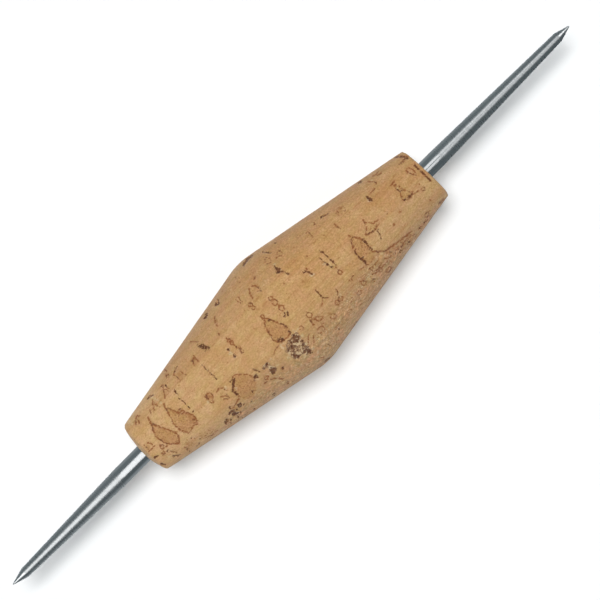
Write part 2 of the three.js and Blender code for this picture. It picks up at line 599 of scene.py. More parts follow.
# %% The grip's outline
CROWN = -51.7 * MM
RIDGE = -2.5 * MM
FLAT_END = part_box("cork_grip")[1].x
SHARP_RIDGE_RADIUS = 16.65 * MM
RIDGE_ROUND = 17 * MM
LEFT_END_RADIUS = 7.65 * MM
RIGHT_END_RADIUS = 7.87 * MM
DOME_RISE = 1.3 * MM
LEFT_EDGE_ROUND = 1.1 * MM
RIGHT_EDGE_ROUND = 0.6 * MM
MOUTH_RADIUS = 2.42 * MM
BORE_RADIUS = 2.68 * MM
MOUTH_DEPTH = 1.6 * MM
DOME_STEPS = 8
EDGE_STEPS = 8
RIDGE_STEPS = 24


def rounded_corner(before, corner, after, radius, steps=EDGE_STEPS):
    """The points of a round that takes the place of one corner of an outline."""
    back = (before - corner).normalized()
    onward = (after - corner).normalized()
    half_angle = back.angle(onward) / 2
    reach = radius / math.tan(half_angle)
    centre = corner + (back + onward).normalized() * radius / math.sin(half_angle)
    start = corner + back * reach - centre
    end = corner + onward * reach - centre
    turn = end.angle_signed(start)
    return [centre + Matrix.Rotation(turn * step / steps, 2) @ start for step in range(steps + 1)]


def dome_place(radius):
    """Where the domed left end lies along X at some distance from the axis."""
    sphere = (LEFT_END_RADIUS ** 2 + DOME_RISE ** 2) / (2 * DOME_RISE)
    return CROWN + sphere - math.sqrt(sphere ** 2 - radius ** 2)


def grip_outline():
    """The outline from the left bore mouth over the outside to the right one, then the bore."""
    radii = np.linspace(MOUTH_RADIUS, LEFT_END_RADIUS, DOME_STEPS + 1)
    dome = [Vector((dome_place(radius), radius)) for radius in radii]
    left_edge = dome.pop()
    ridge = Vector((RIDGE, SHARP_RIDGE_RADIUS))
    right_edge = Vector((FLAT_END, RIGHT_END_RADIUS))
    right_mouth = Vector((FLAT_END, MOUTH_RADIUS))
    outside = [
        *dome,
        *rounded_corner(dome[-1], left_edge, ridge, LEFT_EDGE_ROUND),
        *rounded_corner(left_edge, ridge, right_edge, RIDGE_ROUND, RIDGE_STEPS),
        *rounded_corner(ridge, right_edge, right_mouth, RIGHT_EDGE_ROUND),
        right_mouth,
    ]
    bore = [Vector((FLAT_END - MOUTH_DEPTH, BORE_RADIUS)), Vector((CROWN + 2 * MOUTH_DEPTH, BORE_RADIUS))]
    return outside, bore


def running_length(points):
    """How far along a polyline each of its points lies."""
    steps = [0] + [(after - before).length for before, after in zip(points, points[1:])]
    return np.cumsum(steps)


outside, bore = grip_outline()
outline = outside + bore + outside[:1]
outline_length = running_length(outline)
outline_place = [point.x for point in outline]
outline_radius = [point.y for point in outline]
outside_length = outline_length[len(outside) - 1]
ridge_radius = max(outline_radius)
print(f"grip {(FLAT_END - CROWN) / MM:.1f} mm long, {2 * ridge_radius / MM:.2f} mm thick at the ridge")

# %% The shape that the outline gives
SKEW = -0.0130
OFFSET = 0.10 * MM
RIDGE_TILT = 0.034
TILT_FADE = 6 * MM
LEAN = 0.03
LEAN_SETBACK = 0.23 * MM
LEAN_START = 20 * MM


def soft_step(value, low, high):
    """0 below a range and 1 above it, with a soft rise between."""
    share = np.clip((value - low) / (high - low), 0, 1)
    return share * share * (3 - 2 * share)


def on_grip(along, turn):
    """Points of the grip from their places along the outline and round the axis.

    The grip was turned a little off the rod's line, its ridge is tilted, and its flat end is
    not quite square.
    """
    place = np.interp(along, outline_length, outline_place)
    radius = np.interp(along, outline_length, outline_radius)
    across = radius * np.cos(turn)
    outer = soft_step(radius, BORE_RADIUS, 2.2 * BORE_RADIUS)
    across = across + (OFFSET + SKEW * (place - RIDGE)) * outer
    ends_away = np.minimum(place - CROWN, FLAT_END - place)
    place = place + RIDGE_TILT * across * soft_step(ends_away, 0, TILT_FADE)
    leaning = np.clip((place - LEAN_START) / (FLAT_END - LEAN_START), 0, 1)
    place = place - leaning * (LEAN_SETBACK + LEAN * across)
    return np.column_stack((place, across, radius * np.sin(turn)))


# %% [markdown]
# ### The marks
#
# Each mark is a line, a closed outline or a single spot. It belongs to one layer, which
# says what it is: a reddish vein, a dark slit, a pit, a patch with its own tone, a soft
# stain, a pale powdery rim or a crumbled place. Its reach is how far it fades to nothing.
# Lengths in the lists are millimetres: X along the tool and Y across it, as seen from above.

# %% A mark
LAYERS = ("vein", "slit", "pit", "patch", "stain", "powder", "crumb")
REACH = {"vein": 0.44, "slit": 0.40, "pit": 0.5, "patch": 0.4, "stain": 0.9, "powder": 0.9, "crumb": 0.5}
# The soft surround that some marks have: its layer, how much wider it is, and its strength
SURROUND = {"vein": ("stain", 2.6, 0.32), "slit": ("powder", 2.4, 0.3), "pit": ("powder", 2.0, 0.4)}
CARVED_LAYERS = ("vein", "slit", "pit", "patch", "crumb")
LEFT_END, RIGHT_END = "left end", "right end"


@dataclass
class Mark:
    layer: str
    line: np.ndarray
    reach: float
    strength: float
    closed: bool
    filled: bool
    view: object


marks = []


def smoothed(line, closed):
    """A polyline with its corners cut twice, which makes it a soft curve."""
    for _ in range(2):
        following = np.roll(line, -1, axis=0)
        cut = np.stack((0.75 * line + 0.25 * following, 0.25 * line + 0.75 * following), axis=1)
        cut = cut.reshape(-1, 2)
        line = cut if closed else np.vstack((line[:1], cut[1:-3], line[-1:])) if len(line) > 2 else line
    return line


def mark(layer, points, reach=None, strength=1.0, closed=False, filled=False, view=0.0):
    """Adds one mark, and the soft surround that its layer has."""
    line = smoothed(np.array(points, float), closed) * MM
    reach = (reach or REACH[layer]) * MM
    marks.append(Mark(layer, line, reach, strength, closed, filled, view))
    if layer in SURROUND:
        surround, spread, share = SURROUND[layer]
        marks.append(Mark(surround, line, reach * spread, strength * share, closed, False, view))


def ring(x, y, across, high=None, strength=0.7, reach=0.38, layer="vein", view=0.0, tilt=0.0):
    """An oval vein, given by its middle and its half sizes."""
    high = high or across
    turns = [2 * math.pi * step / 8 for step in range(8)]
    points = []
    for turn in turns:
        flat = Vector((across * math.cos(turn), high * math.sin(turn)))
        flat.rotate(Matrix.Rotation(tilt, 2))
        points.append((x + flat.x, y + flat.y))
    mark(layer, points, reach, strength, closed=True, view=view)


def patch(points, outline_strength=0.9, fill=0.8, view=0.0, reach=None):
    """A closed leaf of darker cork with a vein round it."""
    mark("patch", points, strength=fill, closed=True, filled=True, view=view)
    mark("vein", points, reach, outline_strength, closed=True, view=view)


def spots(layer, places, strength=1.0, view=0.0):
    """Separate spots, each (x, y, radius)."""
    for x, y, radius in places:
        mark(layer, [(x, y)], radius * 1.7, strength, view=view)


def veins(lines, strength=0.85, reach=None, layer="vein"):
    """Several open lines of one kind."""
    for line in lines:
        mark(layer, line, reach, strength)


# %% Leaves and outlined patches on the seen side
patch([(-45.2, 4.1), (-45.5, 3.2), (-46.0, 2.5), (-46.3, 1.6), (-46.8, 0.6), (-46.3, -0.8), (-46.1, -2.1),
       (-45.5, -3.1), (-44.3, -4.1), (-43.6, -4.5), (-42.8, -3.6), (-42.5, -2.4), (-42.8, -1.3),
       (-43.5, 0.1), (-44.2, 1.6), (-44.8, 3.1)], outline_strength=1.0)
patch([(-39.8, 4.2), (-40.3, 3.4), (-40.6, 1.6), (-41.2, 0.6), (-41.2, -0.6), (-41.4, -1.8),
       (-41.0, -3.1),
       (-40.4, -4.4), (-39.6, -4.5), (-38.6, -4.0), (-37.8, -4.0), (-37.1, -4.4), (-36.5, -3.5),
       (-36.3, -2.3), (-36.5, -1.5), (-37.2, -0.8), (-38.1, 0.2), (-38.8, 1.2), (-39.1, 2.2),
       (-39.4, 3.3)], outline_strength=0.86)
for tip in ([(-44.7, 5.4), (-45.0, 4.5), (-45.3, 3.7)], [(-39.5, 5.0), (-39.9, 4.3), (-40.2, 3.5)]):
    mark("vein", tip, 0.55)
patch([(-37.3, -2.0), (-36.5, -1.7), (-36.2, -2.6), (-36.3, -3.5), (-37.0, -4.1), (-37.6, -3.5)],
      outline_strength=0.5, fill=1.0)
patch([(-31.2, -0.6), (-29.9, -0.6), (-29.2, -1.6), (-29.7, -2.5), (-30.4, -2.9), (-31.1, -2.2)],
      outline_strength=0.5, fill=1.0)
patch([(-25.2, -6.4), (-25.4, -5.0), (-24.5, -4.0), (-23.4, -3.3), (-22.5, -2.6), (-21.2, -3.1),
       (-20.0, -4.3),
       (-19.2, -5.4), (-19.5, -7.0), (-20.8, -8.6), (-22.9, -9.7), (-24.8, -8.2)], outline_strength=0.0,
       fill=0.95)
mark("vein", [(-23.2, -2.5), (-22.3, -2.3), (-21.4, -2.7), (-20.4, -3.8), (-19.4, -5.1), (-19.3, -6.0)],
              0.34, 0.9)
patch([(-7.0, 2.5), (-7.5, 1.8), (-8.2, 0.9), (-8.6, -0.2), (-8.9, -1.5), (-9.2, -2.7), (-9.1, -3.6),
       (-8.4, -4.6), (-7.0, -5.0), (-5.2, -4.9), (-4.6, -3.9), (-4.5, -3.1), (-4.8, -1.9), (-5.5, -0.6),
       (-5.9, 0.6), (-6.5, 1.7)], outline_strength=1.0, fill=0.8, reach=0.42)
veins([[(-7.1, 2.3), (-8.2, 0.9), (-8.6, -0.2), (-8.9, -1.5), (-9.2, -2.7), (-9.0, -3.7)],
       [(-6.9, 1.8), (-5.9, 0.6), (-5.5, -0.6), (-4.8, -1.9), (-4.5, -3.1), (-4.6, -4.0)]],
      layer="slit", strength=0.55, reach=0.36)
patch([(22.4, 1.2), (21.6, 0.5), (21.2, -0.2), (20.8, -1.1), (20.4, -1.9), (20.2, -3.1), (20.5, -4.4),
       (20.3, -5.6), (20.6, -6.7), (21.8, -6.7), (22.9, -6.2), (23.7, -5.0), (24.1, -3.9), (24.0, -2.7),
       (24.3, -1.5), (23.7, -0.6), (23.3, 0.6)], outline_strength=0.35, fill=0.85)
veins([[(20.9, -0.9), (21.5, 0.4), (22.4, 1.1), (23.3, 0.6), (23.8, -0.6), (24.2, -1.4)]], strength=0.9)
veins([[(20.8, -1.6), (20.4, -2.3), (20.5, -3.2), (20.2, -4.2), (20.6, -5.1), (20.3, -5.8), (20.5, -6.5)],
       [(24.1, -1.1), (24.3, -1.9), (23.9, -2.8), (23.9, -3.6), (23.7, -4.4)]],
      layer="slit", strength=0.72, reach=0.6)
patch([(27.5, 1.6), (26.8, 0.6), (26.4, -0.2), (25.2, -0.6), (25.8, -1.3), (27.4, -1.7), (28.4, -1.3),
       (30.6, -0.8), (29.7, -0.2), (28.6, -0.1), (28.2, 0.5)], outline_strength=0.8, fill=0.35)
mark("slit", [(25.5, -0.8), (26.4, -1.1), (27.3, -1.5), (28.3, -1.4), (29.2, -0.9)], 0.5, 0.52)
patch([(38.9, 0.8), (38.5, -0.2), (37.7, -1.2), (38.7, -1.9), (39.8, -2.3), (41.0, -1.6), (40.3, -0.5),
       (39.9, 0.5), (39.5, 0.9)], outline_strength=0.8, fill=0.6)
mark("slit", [(38.2, -1.5), (39.0, -1.9), (39.9, -2.1), (40.8, -1.6)], 0.5, 0.7)
patch([(43.5, 3.3), (44.2, 3.8), (44.9, 2.9), (45.1, 1.6), (44.7, 0.6), (44.0, 2.0)],
      outline_strength=0.85, fill=0.4)
patch([(-39.5, -6.7), (-38.0, -6.7), (-36.0, -7.0), (-34.3, -8.7), (-36.4, -9.1), (-38.4, -8.8)],
      outline_strength=0.3, fill=0.44)
patch([(-43.7, -5.9), (-42.4, -5.5), (-41.3, -6.2), (-41.2, -7.3), (-42.8, -7.4), (-43.6, -7.0)],
      outline_strength=0.3, fill=0.65)
patch([(23.7, 8.0), (24.7, 8.9), (26.0, 8.5), (25.6, 7.3), (24.3, 7.0)], outline_strength=0.5, fill=0.55)

# %% Veins on the seen side, from the domed end to the flat one
veins([
    [(-50.2, 1.4), (-50.2, 0.2), (-50.2, -0.5)],
    [(-50.5, -0.6), (-49.4, -0.6), (-48.5, -0.6)],
    [(-49.3, 1.2), (-48.7, 0.6), (-48.7, -0.3)],
    [(-47.9, 6.4), (-47.2, 7.4), (-46.2, 7.9), (-45.9, 7.3)],
    [(-47.2, 5.9), (-46.8, 6.8)],
    [(-50.5, -2.5), (-49.8, -3.1)],
    [(-50.7, -4.8), (-49.9, -5.9)],
    [(-48.6, -3.2), (-47.9, -3.9)],
    [(-47.5, -1.8), (-47.0, -2.6), (-46.5, -2.9)],
    [(-31.0, -0.7), (-30.0, -0.7), (-29.4, -1.4), (-29.7, -2.3)],
    [(-31.1, -0.9), (-30.9, -2.0), (-31.2, -3.0), (-30.6, -3.4)],
    [(-28.3, -7.9), (-26.9, -7.5), (-25.5, -7.3), (-25.1, -6.7)],
    [(-38.5, 1.4), (-37.4, 1.5), (-37.2, 0.9), (-38.2, 0.6)],
    [(-38.2, 0.4), (-37.2, 0.1), (-37.0, -0.6), (-36.6, -1.3)],
    [(-17.1, 5.6), (-17.2, 4.6), (-16.8, 3.4), (-16.9, 2.4), (-16.5, 1.4), (-16.8, 0.2)],
    [(38.9, 2.8), (38.8, 1.8), (38.9, 0.8)],
    [(39.3, 2.9), (39.7, 2.0), (39.8, 1.2), (40.1, 0.2)],
    [(-42.2, 5.8), (-41.6, 7.0), (-40.9, 7.8)],
    [(-41.0, 5.9), (-40.9, 7.2)],
    [(-38.3, 5.9), (-37.4, 7.2), (-36.6, 8.4)],
    [(-33.3, 11.2), (-33.4, 10.3)],
    [(-34.4, 9.3), (-34.0, 9.9), (-33.6, 9.4)],
    [(-27.4, 6.6), (-27.1, 7.4), (-26.9, 7.8)],
    [(-27.2, 7.9), (-26.4, 7.7), (-25.9, 8.2)],
    [(-25.9, 7.8), (-26.0, 6.8)],
    [(-43.4, 5.9), (-42.9, 6.6)],
    [(-28.1, -2.1), (-27.2, -1.8), (-26.4, -2.5), (-26.2, -3.4)],
    [(-28.3, -3.8), (-27.4, -4.3), (-26.8, -5.2), (-27.6, -5.4), (-28.2, -4.6)],
    [(-22.5, -8.2), (-21.2, -8.6)],
    [(-16.5, 9.5), (-16.1, 10.7), (-15.4, 11.4)],
    [(-5.4, 8.1), (-5.3, 9.1), (-4.8, 9.9), (-4.4, 10.2)],
    [(-3.6, 10.4), (-2.8, 9.7), (-2.5, 8.4)],
    [(-16.5, -9.5), (-15.3, -10.2), (-14.3, -11.6)],
    [(0.9, -6.3), (1.7, -6.0), (2.6, -6.7), (3.6, -7.4), (3.2, -8.1), (2.0, -7.6), (1.6, -6.4)],
    [(0.7, -5.9), (0.5, -7.4)],
    [(7.06, -1.7), (7.0, -3.1), (6.8, -4.3), (7.7, -5.2)],
    [(6.7, -4.3), (6.0, -5.0), (5.2, -5.5)],
    [(14.6, -1.2), (14.4, -2.4)],
    [(21.9, 6.6), (21.8, 5.6), (22.1, 4.7)],
    [(27.6, 2.3), (27.5, 1.6)],
    [(38.3, 3.5), (39.8, 3.5)],
    [(35.2, 8.2), (35.9, 7.4), (36.4, 6.9), (36.2, 6.2)],
    [(33.6, 5.7), (35.0, 5.7)],
    [(44.3, 7.5), (45.5, 6.7), (46.4, 5.5)],
    [(43.7, 5.6), (44.6, 5.5), (45.7, 5.7)],
    [(43.6, -8.3), (45.2, -8.3)],
])
veins([
    [(-38.0, -8.4), (-36.4, -8.9), (-34.8, -8.9)],
    [(-1.1, 15.6), (0.4, 16.0), (1.6, 15.8)],
    [(20.3, -9.3), (22.3, -9.6)],
    [(14.6, -5.9), (16.0, -5.8)],
    [(18.6, -6.0), (19.4, -6.1)],
    [(15.9, 9.9), (15.8, 8.0)],
    [(15.4, 9.9), (16.4, 9.9)],
], strength=0.75)
veins([[(-38.6, -7.5), (-36.6, -7.9)]], strength=0.45)
veins([
    [(-24.0, 11.3), (-23.3, 10.7), (-22.7, 9.9)],
    [(-37.3, 8.8), (-36.2, 8.7), (-36.0, 7.6), (-35.9, 6.4)],
    [(-37.2, 7.9), (-36.6, 7.3), (-36.4, 6.5)],
    [(-8.6, 10.7), (-8.5, 9.2)],
    [(-7.8, 10.7), (-7.9, 9.3)],
    [(-4.1, -14.2), (-3.4, -15.0)],
    [(10.8, -4.8), (10.5, -5.9), (10.0, -6.6)],
    [(28.9, -9.6), (30.2, -9.0), (31.6, -8.7), (33.2, -8.8)],
    [(27.3, -9.4), (28.1, -8.6)],
    [(26.4, -8.6), (26.9, -7.5)],
    [(30.6, -9.9), (32.3, -9.5)],
    [(35.5, -9.2), (36.6, -9.0)],
    [(37.4, -9.2), (38.9, -9.1)],
    [(39.0, -7.9), (39.9, -7.5), (40.9, -7.9)],
    [(20.8, -8.7), (22.6, -9.5), (24.6, -9.3)],
    [(19.8, -7.4), (21.6, -7.7), (23.4, -7.4)],
    [(-18.5, -9.1), (-17.5, -9.2)],
    [(-43.5, -6.4), (-43.2, -7.7)],
    [(-32.7, 8.5), (-31.8, 9.0), (-30.9, 9.5)],
    [(-32.6, 8.2), (-32.4, 7.0), (-32.7, 6.1)],
    [(-30.9, 8.0), (-30.8, 6.9), (-30.5, 6.2)],
    [(-11.6, -5.6), (-10.8, -5.0), (-9.3, -4.9)],
    [(40.8, -2.1), (41.6, -2.2), (42.4, -2.4)],
    [(37.0, 8.3), (37.9, 8.0), (38.8, 8.2)],
    [(37.8, 7.7), (38.9, 7.2), (39.3, 7.6)],
    [(-3.8, -9.9), (-2.9, -8.9), (-1.9, -8.1)],
    [(-2.7, -10.8), (-1.4, -9.3)],
    [(16.2, -8.0), (17.0, -8.6), (17.7, -9.4)],
    [(22.6, -10.6), (23.6, -10.4), (24.2, -11.1), (23.2, -11.7), (22.5, -11.3)],
    [(19.4, -8.9), (20.6, -9.3), (21.5, -8.9), (22.8, -8.7)],
    [(24.6, -8.3), (25.4, -9.1), (26.2, -9.0)],
    [(30.2, -8.4), (31.4, -9.3), (32.6, -9.0), (33.8, -9.4)],
], strength=0.8, reach=0.32)

# Brown edges that run under broken dark slits, so that the line itself has no gaps
veins([
    [(20.8, -1.6), (20.4, -2.3), (20.5, -3.2), (20.2, -4.2), (20.6, -5.1), (20.3, -5.8), (20.5, -6.5)],
    [(24.1, -1.1), (24.3, -1.9), (23.9, -2.8), (23.9, -3.6), (23.7, -4.4)],
    [(-25.0, -6.3), (-25.3, -5.5), (-25.1, -4.8), (-24.5, -4.1), (-23.8, -3.5), (-23.0, -2.9)],
    [(38.1, -1.4), (39.0, -2.0), (39.9, -2.2), (40.9, -1.6)],
    [(25.6, -0.9), (26.6, -1.3), (27.6, -1.6), (28.6, -1.3)],
    [(23.7, -5.0), (24.9, -6.2), (26.0, -7.2), (28.0, -7.4), (30.5, -7.9), (33.8, -8.3)],
    [(46.1, 2.9), (46.2, 1.2), (46.2, -0.9), (46.1, -2.7)],
], strength=0.95, reach=0.52)

# %% Growth lines on the seen side
GROWTH_LINES = [
    [(-45.8, 6.4), (-34.0, 6.2), (-22.0, 6.5)],
    [(-21.8, 6.7), (-12.0, 7.0), (-4.0, 7.1)],
    [(3.0, 7.3), (12.0, 7.1), (20.0, 6.7), (27.5, 6.4)],
    [(25.0, 6.0), (31.0, 5.9), (35.5, 5.5)],
    [(2.0, 2.9), (7.0, 2.3), (12.0, 2.6)],
    [(5.5, 1.6), (10.0, 0.9), (13.0, 1.2)],
    [(9.5, 4.4), (14.0, 4.0), (20.0, 4.5), (26.0, 4.2)],
    [(33.0, 4.4), (38.0, 4.2), (42.0, 4.5)],
    [(14.0, -5.9), (16.4, -5.8), (19.2, -6.0)],
    [(-13.5, 4.9), (-7.0, 5.1), (-1.0, 4.8)],
]
veins(GROWTH_LINES, layer="stain", strength=0.4, reach=0.5)

# %% Slits and pits on the seen side
veins([
    [(8.8, 2.9), (9.1, 2.2), (9.15, 1.7)],
    [(38.9, 1.6), (38.95, 0.8)],
    [(46.1, 2.9), (46.2, 1.2), (46.2, -0.9), (46.1, -2.7)],
    [(46.15, 1.6), (46.2, 0.2)],
    [(44.0, 7.8), (44.9, 7.2), (45.7, 6.2), (46.1, 5.2)],
    [(-23.2, 9.4), (-22.9, 8.3), (-22.4, 7.0)],
    [(-22.7, 9.3), (-22.3, 8.2), (-21.8, 7.2)],
    [(4.0, 9.9), (3.9, 9.0)],
    [(4.4, 14.3), (5.0, 13.6), (5.6, 12.9)],
    [(-17.4, 13.0), (-16.7, 13.2), (-16.0, 13.5)],
    [(-13.2, 13.3), (-12.6, 13.1), (-11.8, 13.9)],
], layer="slit", strength=1.0)
veins([
    [(13.3, 3.3), (13.4, 1.8), (13.6, 0.1), (14.2, -1.0)],
    [(14.7, 4.5), (14.9, 2.7), (14.9, 1.0), (15.0, -1.0)],
    [(7.05, -1.6), (6.9, -2.9), (6.7, -4.0), (7.4, -5.0)],
    [(28.2, -1.9), (28.1, -3.1), (27.4, -4.4)],
], layer="slit", strength=0.8, reach=0.42)
veins([
    [(-35.2, 5.9), (-35.5, 5.0), (-35.5, 4.1)],
    [(-35.9, 3.5), (-35.7, 2.2), (-35.8, 1.0), (-35.7, -0.1)],
], layer="slit", reach=0.32)
veins([[(-26.1, 5.2), (-26.1, 3.4), (-26.0, 1.8), (-25.95, 0.1)]], layer="slit", strength=0.86,
        reach=0.37)
veins([[(10.7, -4.8), (10.4, -6.0), (10.0, -6.5)]], layer="slit", strength=0.61, reach=0.42)
veins([[(20.3, 9.9), (20.9, 10.4), (21.6, 9.8), (22.5, 9.7)]], layer="slit", strength=0.78)
veins([
    [(-47.1, -3.8), (-46.6, -4.5), (-46.2, -5.1)],
    [(-47.0, -5.8), (-46.3, -6.4), (-45.7, -6.8)],
    [(-50.6, -5.0), (-50.0, -5.8)],
    [(-50.4, -2.6), (-49.8, -3.1)],
    [(-23.2, 9.4), (-22.9, 8.3), (-22.8, 7.2)],
    [(-22.7, 9.2), (-22.3, 8.2), (-21.8, 7.1)],
    [(4.5, 7.5), (4.8, 6.6), (5.0, 5.9)],
    [(-17.8, -4.6), (-17.5, -5.3), (-17.2, -6.0)],
    [(24.2, -1.2), (24.1, -2.2), (23.9, -3.2)],
    [(-1.4, 15.4), (0.4, 15.8), (1.8, 15.6)],
], layer="slit", reach=0.55)
veins([
    [(-25.0, -6.3), (-25.3, -5.6), (-25.1, -4.8)],
    [(-24.5, -4.1), (-23.8, -3.5), (-23.1, -3.0)],
], layer="pit", reach=0.46)
veins([
    [(-25.0, -6.4), (-25.3, -5.4), (-25.0, -4.6), (-24.4, -4.0)],
    [(-24.2, -3.8), (-23.6, -3.3), (-22.8, -2.9)],
    [(-24.0, -2.7), (-23.2, -2.7)],
    [(-19.6, -6.9), (-19.0, -6.4), (-18.3, -6.1)],
    [(-41.5, 9.0), (-40.7, 8.9), (-39.9, 8.7)],
    [(32.3, 5.7), (32.25, 4.9), (32.3, 4.1)],
    [(33.2, 9.5), (34.0, 9.4)],
], layer="slit", reach=0.5)

for crumbled in (
        [(-9.2, -7.0), (-8.1, -6.6), (-7.3, -5.7), (-5.7, -5.7), (-4.0, -5.4), (-3.5, -6.5),
         (-4.2, -8.0), (-4.0, -9.5),
         (-4.3, -11.6), (-5.6, -11.8), (-6.6, -10.8), (-8.2, -10.9), (-9.3, -9.8), (-8.8, -8.8),
         (-9.4, -7.5)],
        [(-29.8, -8.0), (-28.8, -7.9), (-28.3, -8.9), (-27.6, -9.6), (-28.2, -10.2), (-29.4, -9.7)],
        [(-26.9, -7.9), (-26.0, -8.0), (-26.0, -8.9), (-26.9, -9.3), (-27.2, -8.7)],
        [(-16.5, -5.9), (-14.9, -5.6), (-13.5, -6.1), (-14.2, -6.9), (-13.4, -8.1), (-13.8, -9.0),
         (-15.2, -9.1),
         (-15.6, -8.0), (-15.0, -6.9), (-16.2, -6.7)]):
    mark("crumb", crumbled, strength=0.85, closed=True, filled=True)

PIT_CLUSTER_LEFT = [(-32.0, -9.1, 0.34), (-31.3, -8.8, 0.36), (-30.6, -9.6, 0.3), (-31.1, -10.1, 0.24),
                    (-29.7, -8.3, 0.34), (-28.9, -8.4, 0.5), (-29.1, -9.1, 0.45), (-28.4, -9.8, 0.4),
                    (-27.8, -8.9, 0.3), (-27.6, -10.0, 0.34), (-26.8, -8.3, 0.36), (-26.2, -8.5, 0.34),
                    (-26.7, -9.1, 0.3), (-28.6, -7.2, 0.34), (-27.3, -7.8, 0.22), (-28.8, -10.4, 0.24),
                    (-25.6, -9.1, 0.24)]
PIT_CLUSTER_MIDDLE = [(-4.9, -6.3, 0.8), (-5.2, -7.2, 0.7), (-6.6, -6.7, 0.45), (-7.2, -7.7, 0.5),
                      (-8.6, -7.7, 0.5), (-8.3, -9.6, 0.5), (-7.7, -10.3, 0.4), (-4.9, -9.4, 0.45),
                      (-5.7, -10.6, 0.4), (-4.9, -11.3, 0.65), (-4.4, -8.4, 0.35)]
PITS_RIGHT_OF_SHIELD = [(-14.6, -6.2, 0.42), (-14.6, -8.1, 0.7), (-14.9, -8.8, 0.4), (-13.9, -8.4, 0.36),
                        (-18.5, -6.7, 0.4)]
PITS_UPPER = [(-23.0, 8.9, 0.44), (-22.7, 8.3, 0.46), (-22.4, 7.5, 0.5), (-21.9, 7.2, 0.5),
              (-17.2, 13.0, 0.34),
              (-16.6, 13.2, 0.34), (-12.9, 13.5, 0.36), (-12.4, 13.2, 0.34), (20.7, 10.1, 0.2),
              (33.6, 9.4, 0.32), (-1.6, 4.2, 0.2)]
spots("pit", PIT_CLUSTER_LEFT + PIT_CLUSTER_MIDDLE + PITS_RIGHT_OF_SHIELD + PITS_UPPER)
spots("pit", [(-8.3, -4.0, 0.5), (-7.6, -4.5, 0.6), (-6.7, 1.35, 0.4), (-5.0, -4.5, 0.34),
              (-25.1, -5.6, 0.36), (-25.3, -4.9, 0.3), (-24.2, -3.9, 0.34), (-23.4, -3.5, 0.32),
              (-12.5, -9.6, 0.36), (-19.2, -6.6, 0.4), (-18.8, -6.2, 0.3), (-21.9, -8.4, 0.34),
              (-24.0, -10.0, 0.3), (-18.6, -12.7, 0.36), (-14.2, -13.1, 0.38),
              (-2.5, -0.3, 0.34), (-3.0, -0.8, 0.34), (-2.0, -0.7, 0.34), (-2.3, -1.1, 0.3),
              (14.75, 3.9, 0.32), (15.0, 0.2, 0.32), (13.55, 0.6, 0.36),
              (20.3, -4.3, 0.4), (21.0, -4.4, 0.28), (24.0, -1.8, 0.3),
              (23.8, -4.1, 0.38), (20.4, -5.7, 0.3),
              (3.9, 8.9, 0.5), (3.75, 8.2, 0.62), (4.2, 8.4, 0.4), (-3.0, 8.5, 0.42), (-2.8, 8.1, 0.3),
              (8.0, 3.6, 0.26), (8.5, 3.3, 0.34),
              (14.0, -0.4, 0.3),
              (39.2, -1.9, 0.34), (40.0, -1.8, 0.36), (38.6, -1.6, 0.26),
              (-18.8, 3.2, 0.44), (-18.8, 1.0, 0.46), (-35.2, 5.4, 0.28), (-35.75, 0.2, 0.26),
              (-26.0, 3.3, 0.26), (-25.95, 0.3, 0.22), (32.3, 4.5, 0.46),
              (32.25, 5.3, 0.4)], strength=0.95)
# Small spots: rust-brown ones, then darker ones
spots("vein", [(-17.6, 7.6, 0.4), (-9.2, 7.4, 0.26), (32.1, -4.0, 0.34), (35.5, -3.0, 0.36),
               (42.7, -6.2, 0.42),
               (11.5, 5.8, 0.34), (18.4, 10.1, 0.42), (18.1, 6.5, 0.34), (2.7, 5.1, 0.36),
               (5.8, 10.9, 0.42),
               (-12.5, -9.6, 0.42), (-48.4, -3.7, 0.45), (-1.6, 11.3, 0.5), (-45.8, -5.7, 0.3),
               (22.4, 1.9, 0.36),
               (27.6, 2.1, 0.32), (7.8, 3.6, 0.34), (9.1, 3.6, 0.32), (15.2, -6.2, 0.4),
               (14.3, -1.2, 0.32),
               (14.5, -1.9, 0.3), (-8.2, 4.2, 0.2), (24.4, 8.3, 0.45), (42.8, -1.2, 0.36),
               (43.6, -1.4, 0.3), (32.9, -0.9, 0.26),
               (-36.9, -2.9, 0.5), (-30.4, -3.1, 0.34), (-30.8, -1.0, 0.36), (-17.05, 4.9, 0.34),
               (-16.95, 4.1, 0.36),
               (-16.75, 2.5, 0.36), (-16.8, 1.6, 0.3)], strength=0.85)
spots("pit", [(-29.2, -10.9, 0.2), (-28.3, -11.1, 0.2), (-24.6, -11.8, 0.22), (-40.6, -5.9, 0.34),
              (-40.2, -6.4, 0.28), (-43.4, -6.9, 0.28), (-43.3, -7.8, 0.26), (-41.0, -8.3, 0.3),
              (-40.2, -8.1, 0.28), (-39.4, -7.4, 0.26), (-38.1, -2.9, 0.26), (-26.8, -4.3, 0.26),
              (26.8, -8.4, 0.3), (35.9, -9.2, 0.28), (37.8, -9.0, 0.28), (28.4, -9.9, 0.36),
              (4.2, -12.7, 0.22),
              (5.6, -11.8, 0.22), (-34.0, 9.7, 0.22), (-31.9, 8.9, 0.24), (-31.2, 9.4, 0.26),
              (-30.6, 9.4, 0.26), (-36.0, 8.0, 0.24), (-37.0, 8.7, 0.24),
              (-35.7, -1.4, 0.28), (18.8, -10.1, 0.3), (31.7, -9.7, 0.3), (8.2, 13.8, 0.24),
              (-0.4, -13.4, 0.22), (-0.3, -14.0, 0.22), (28.5, -2.1, 0.28),
              (28.8, -9.8, 0.3), (-17.0, 4.5, 0.2), (-16.85, 2.4, 0.2), (-50.2, 0.4, 0.26),
              (-50.4, -2.7, 0.34), (15.0, -12.2, 0.2)], strength=0.8)

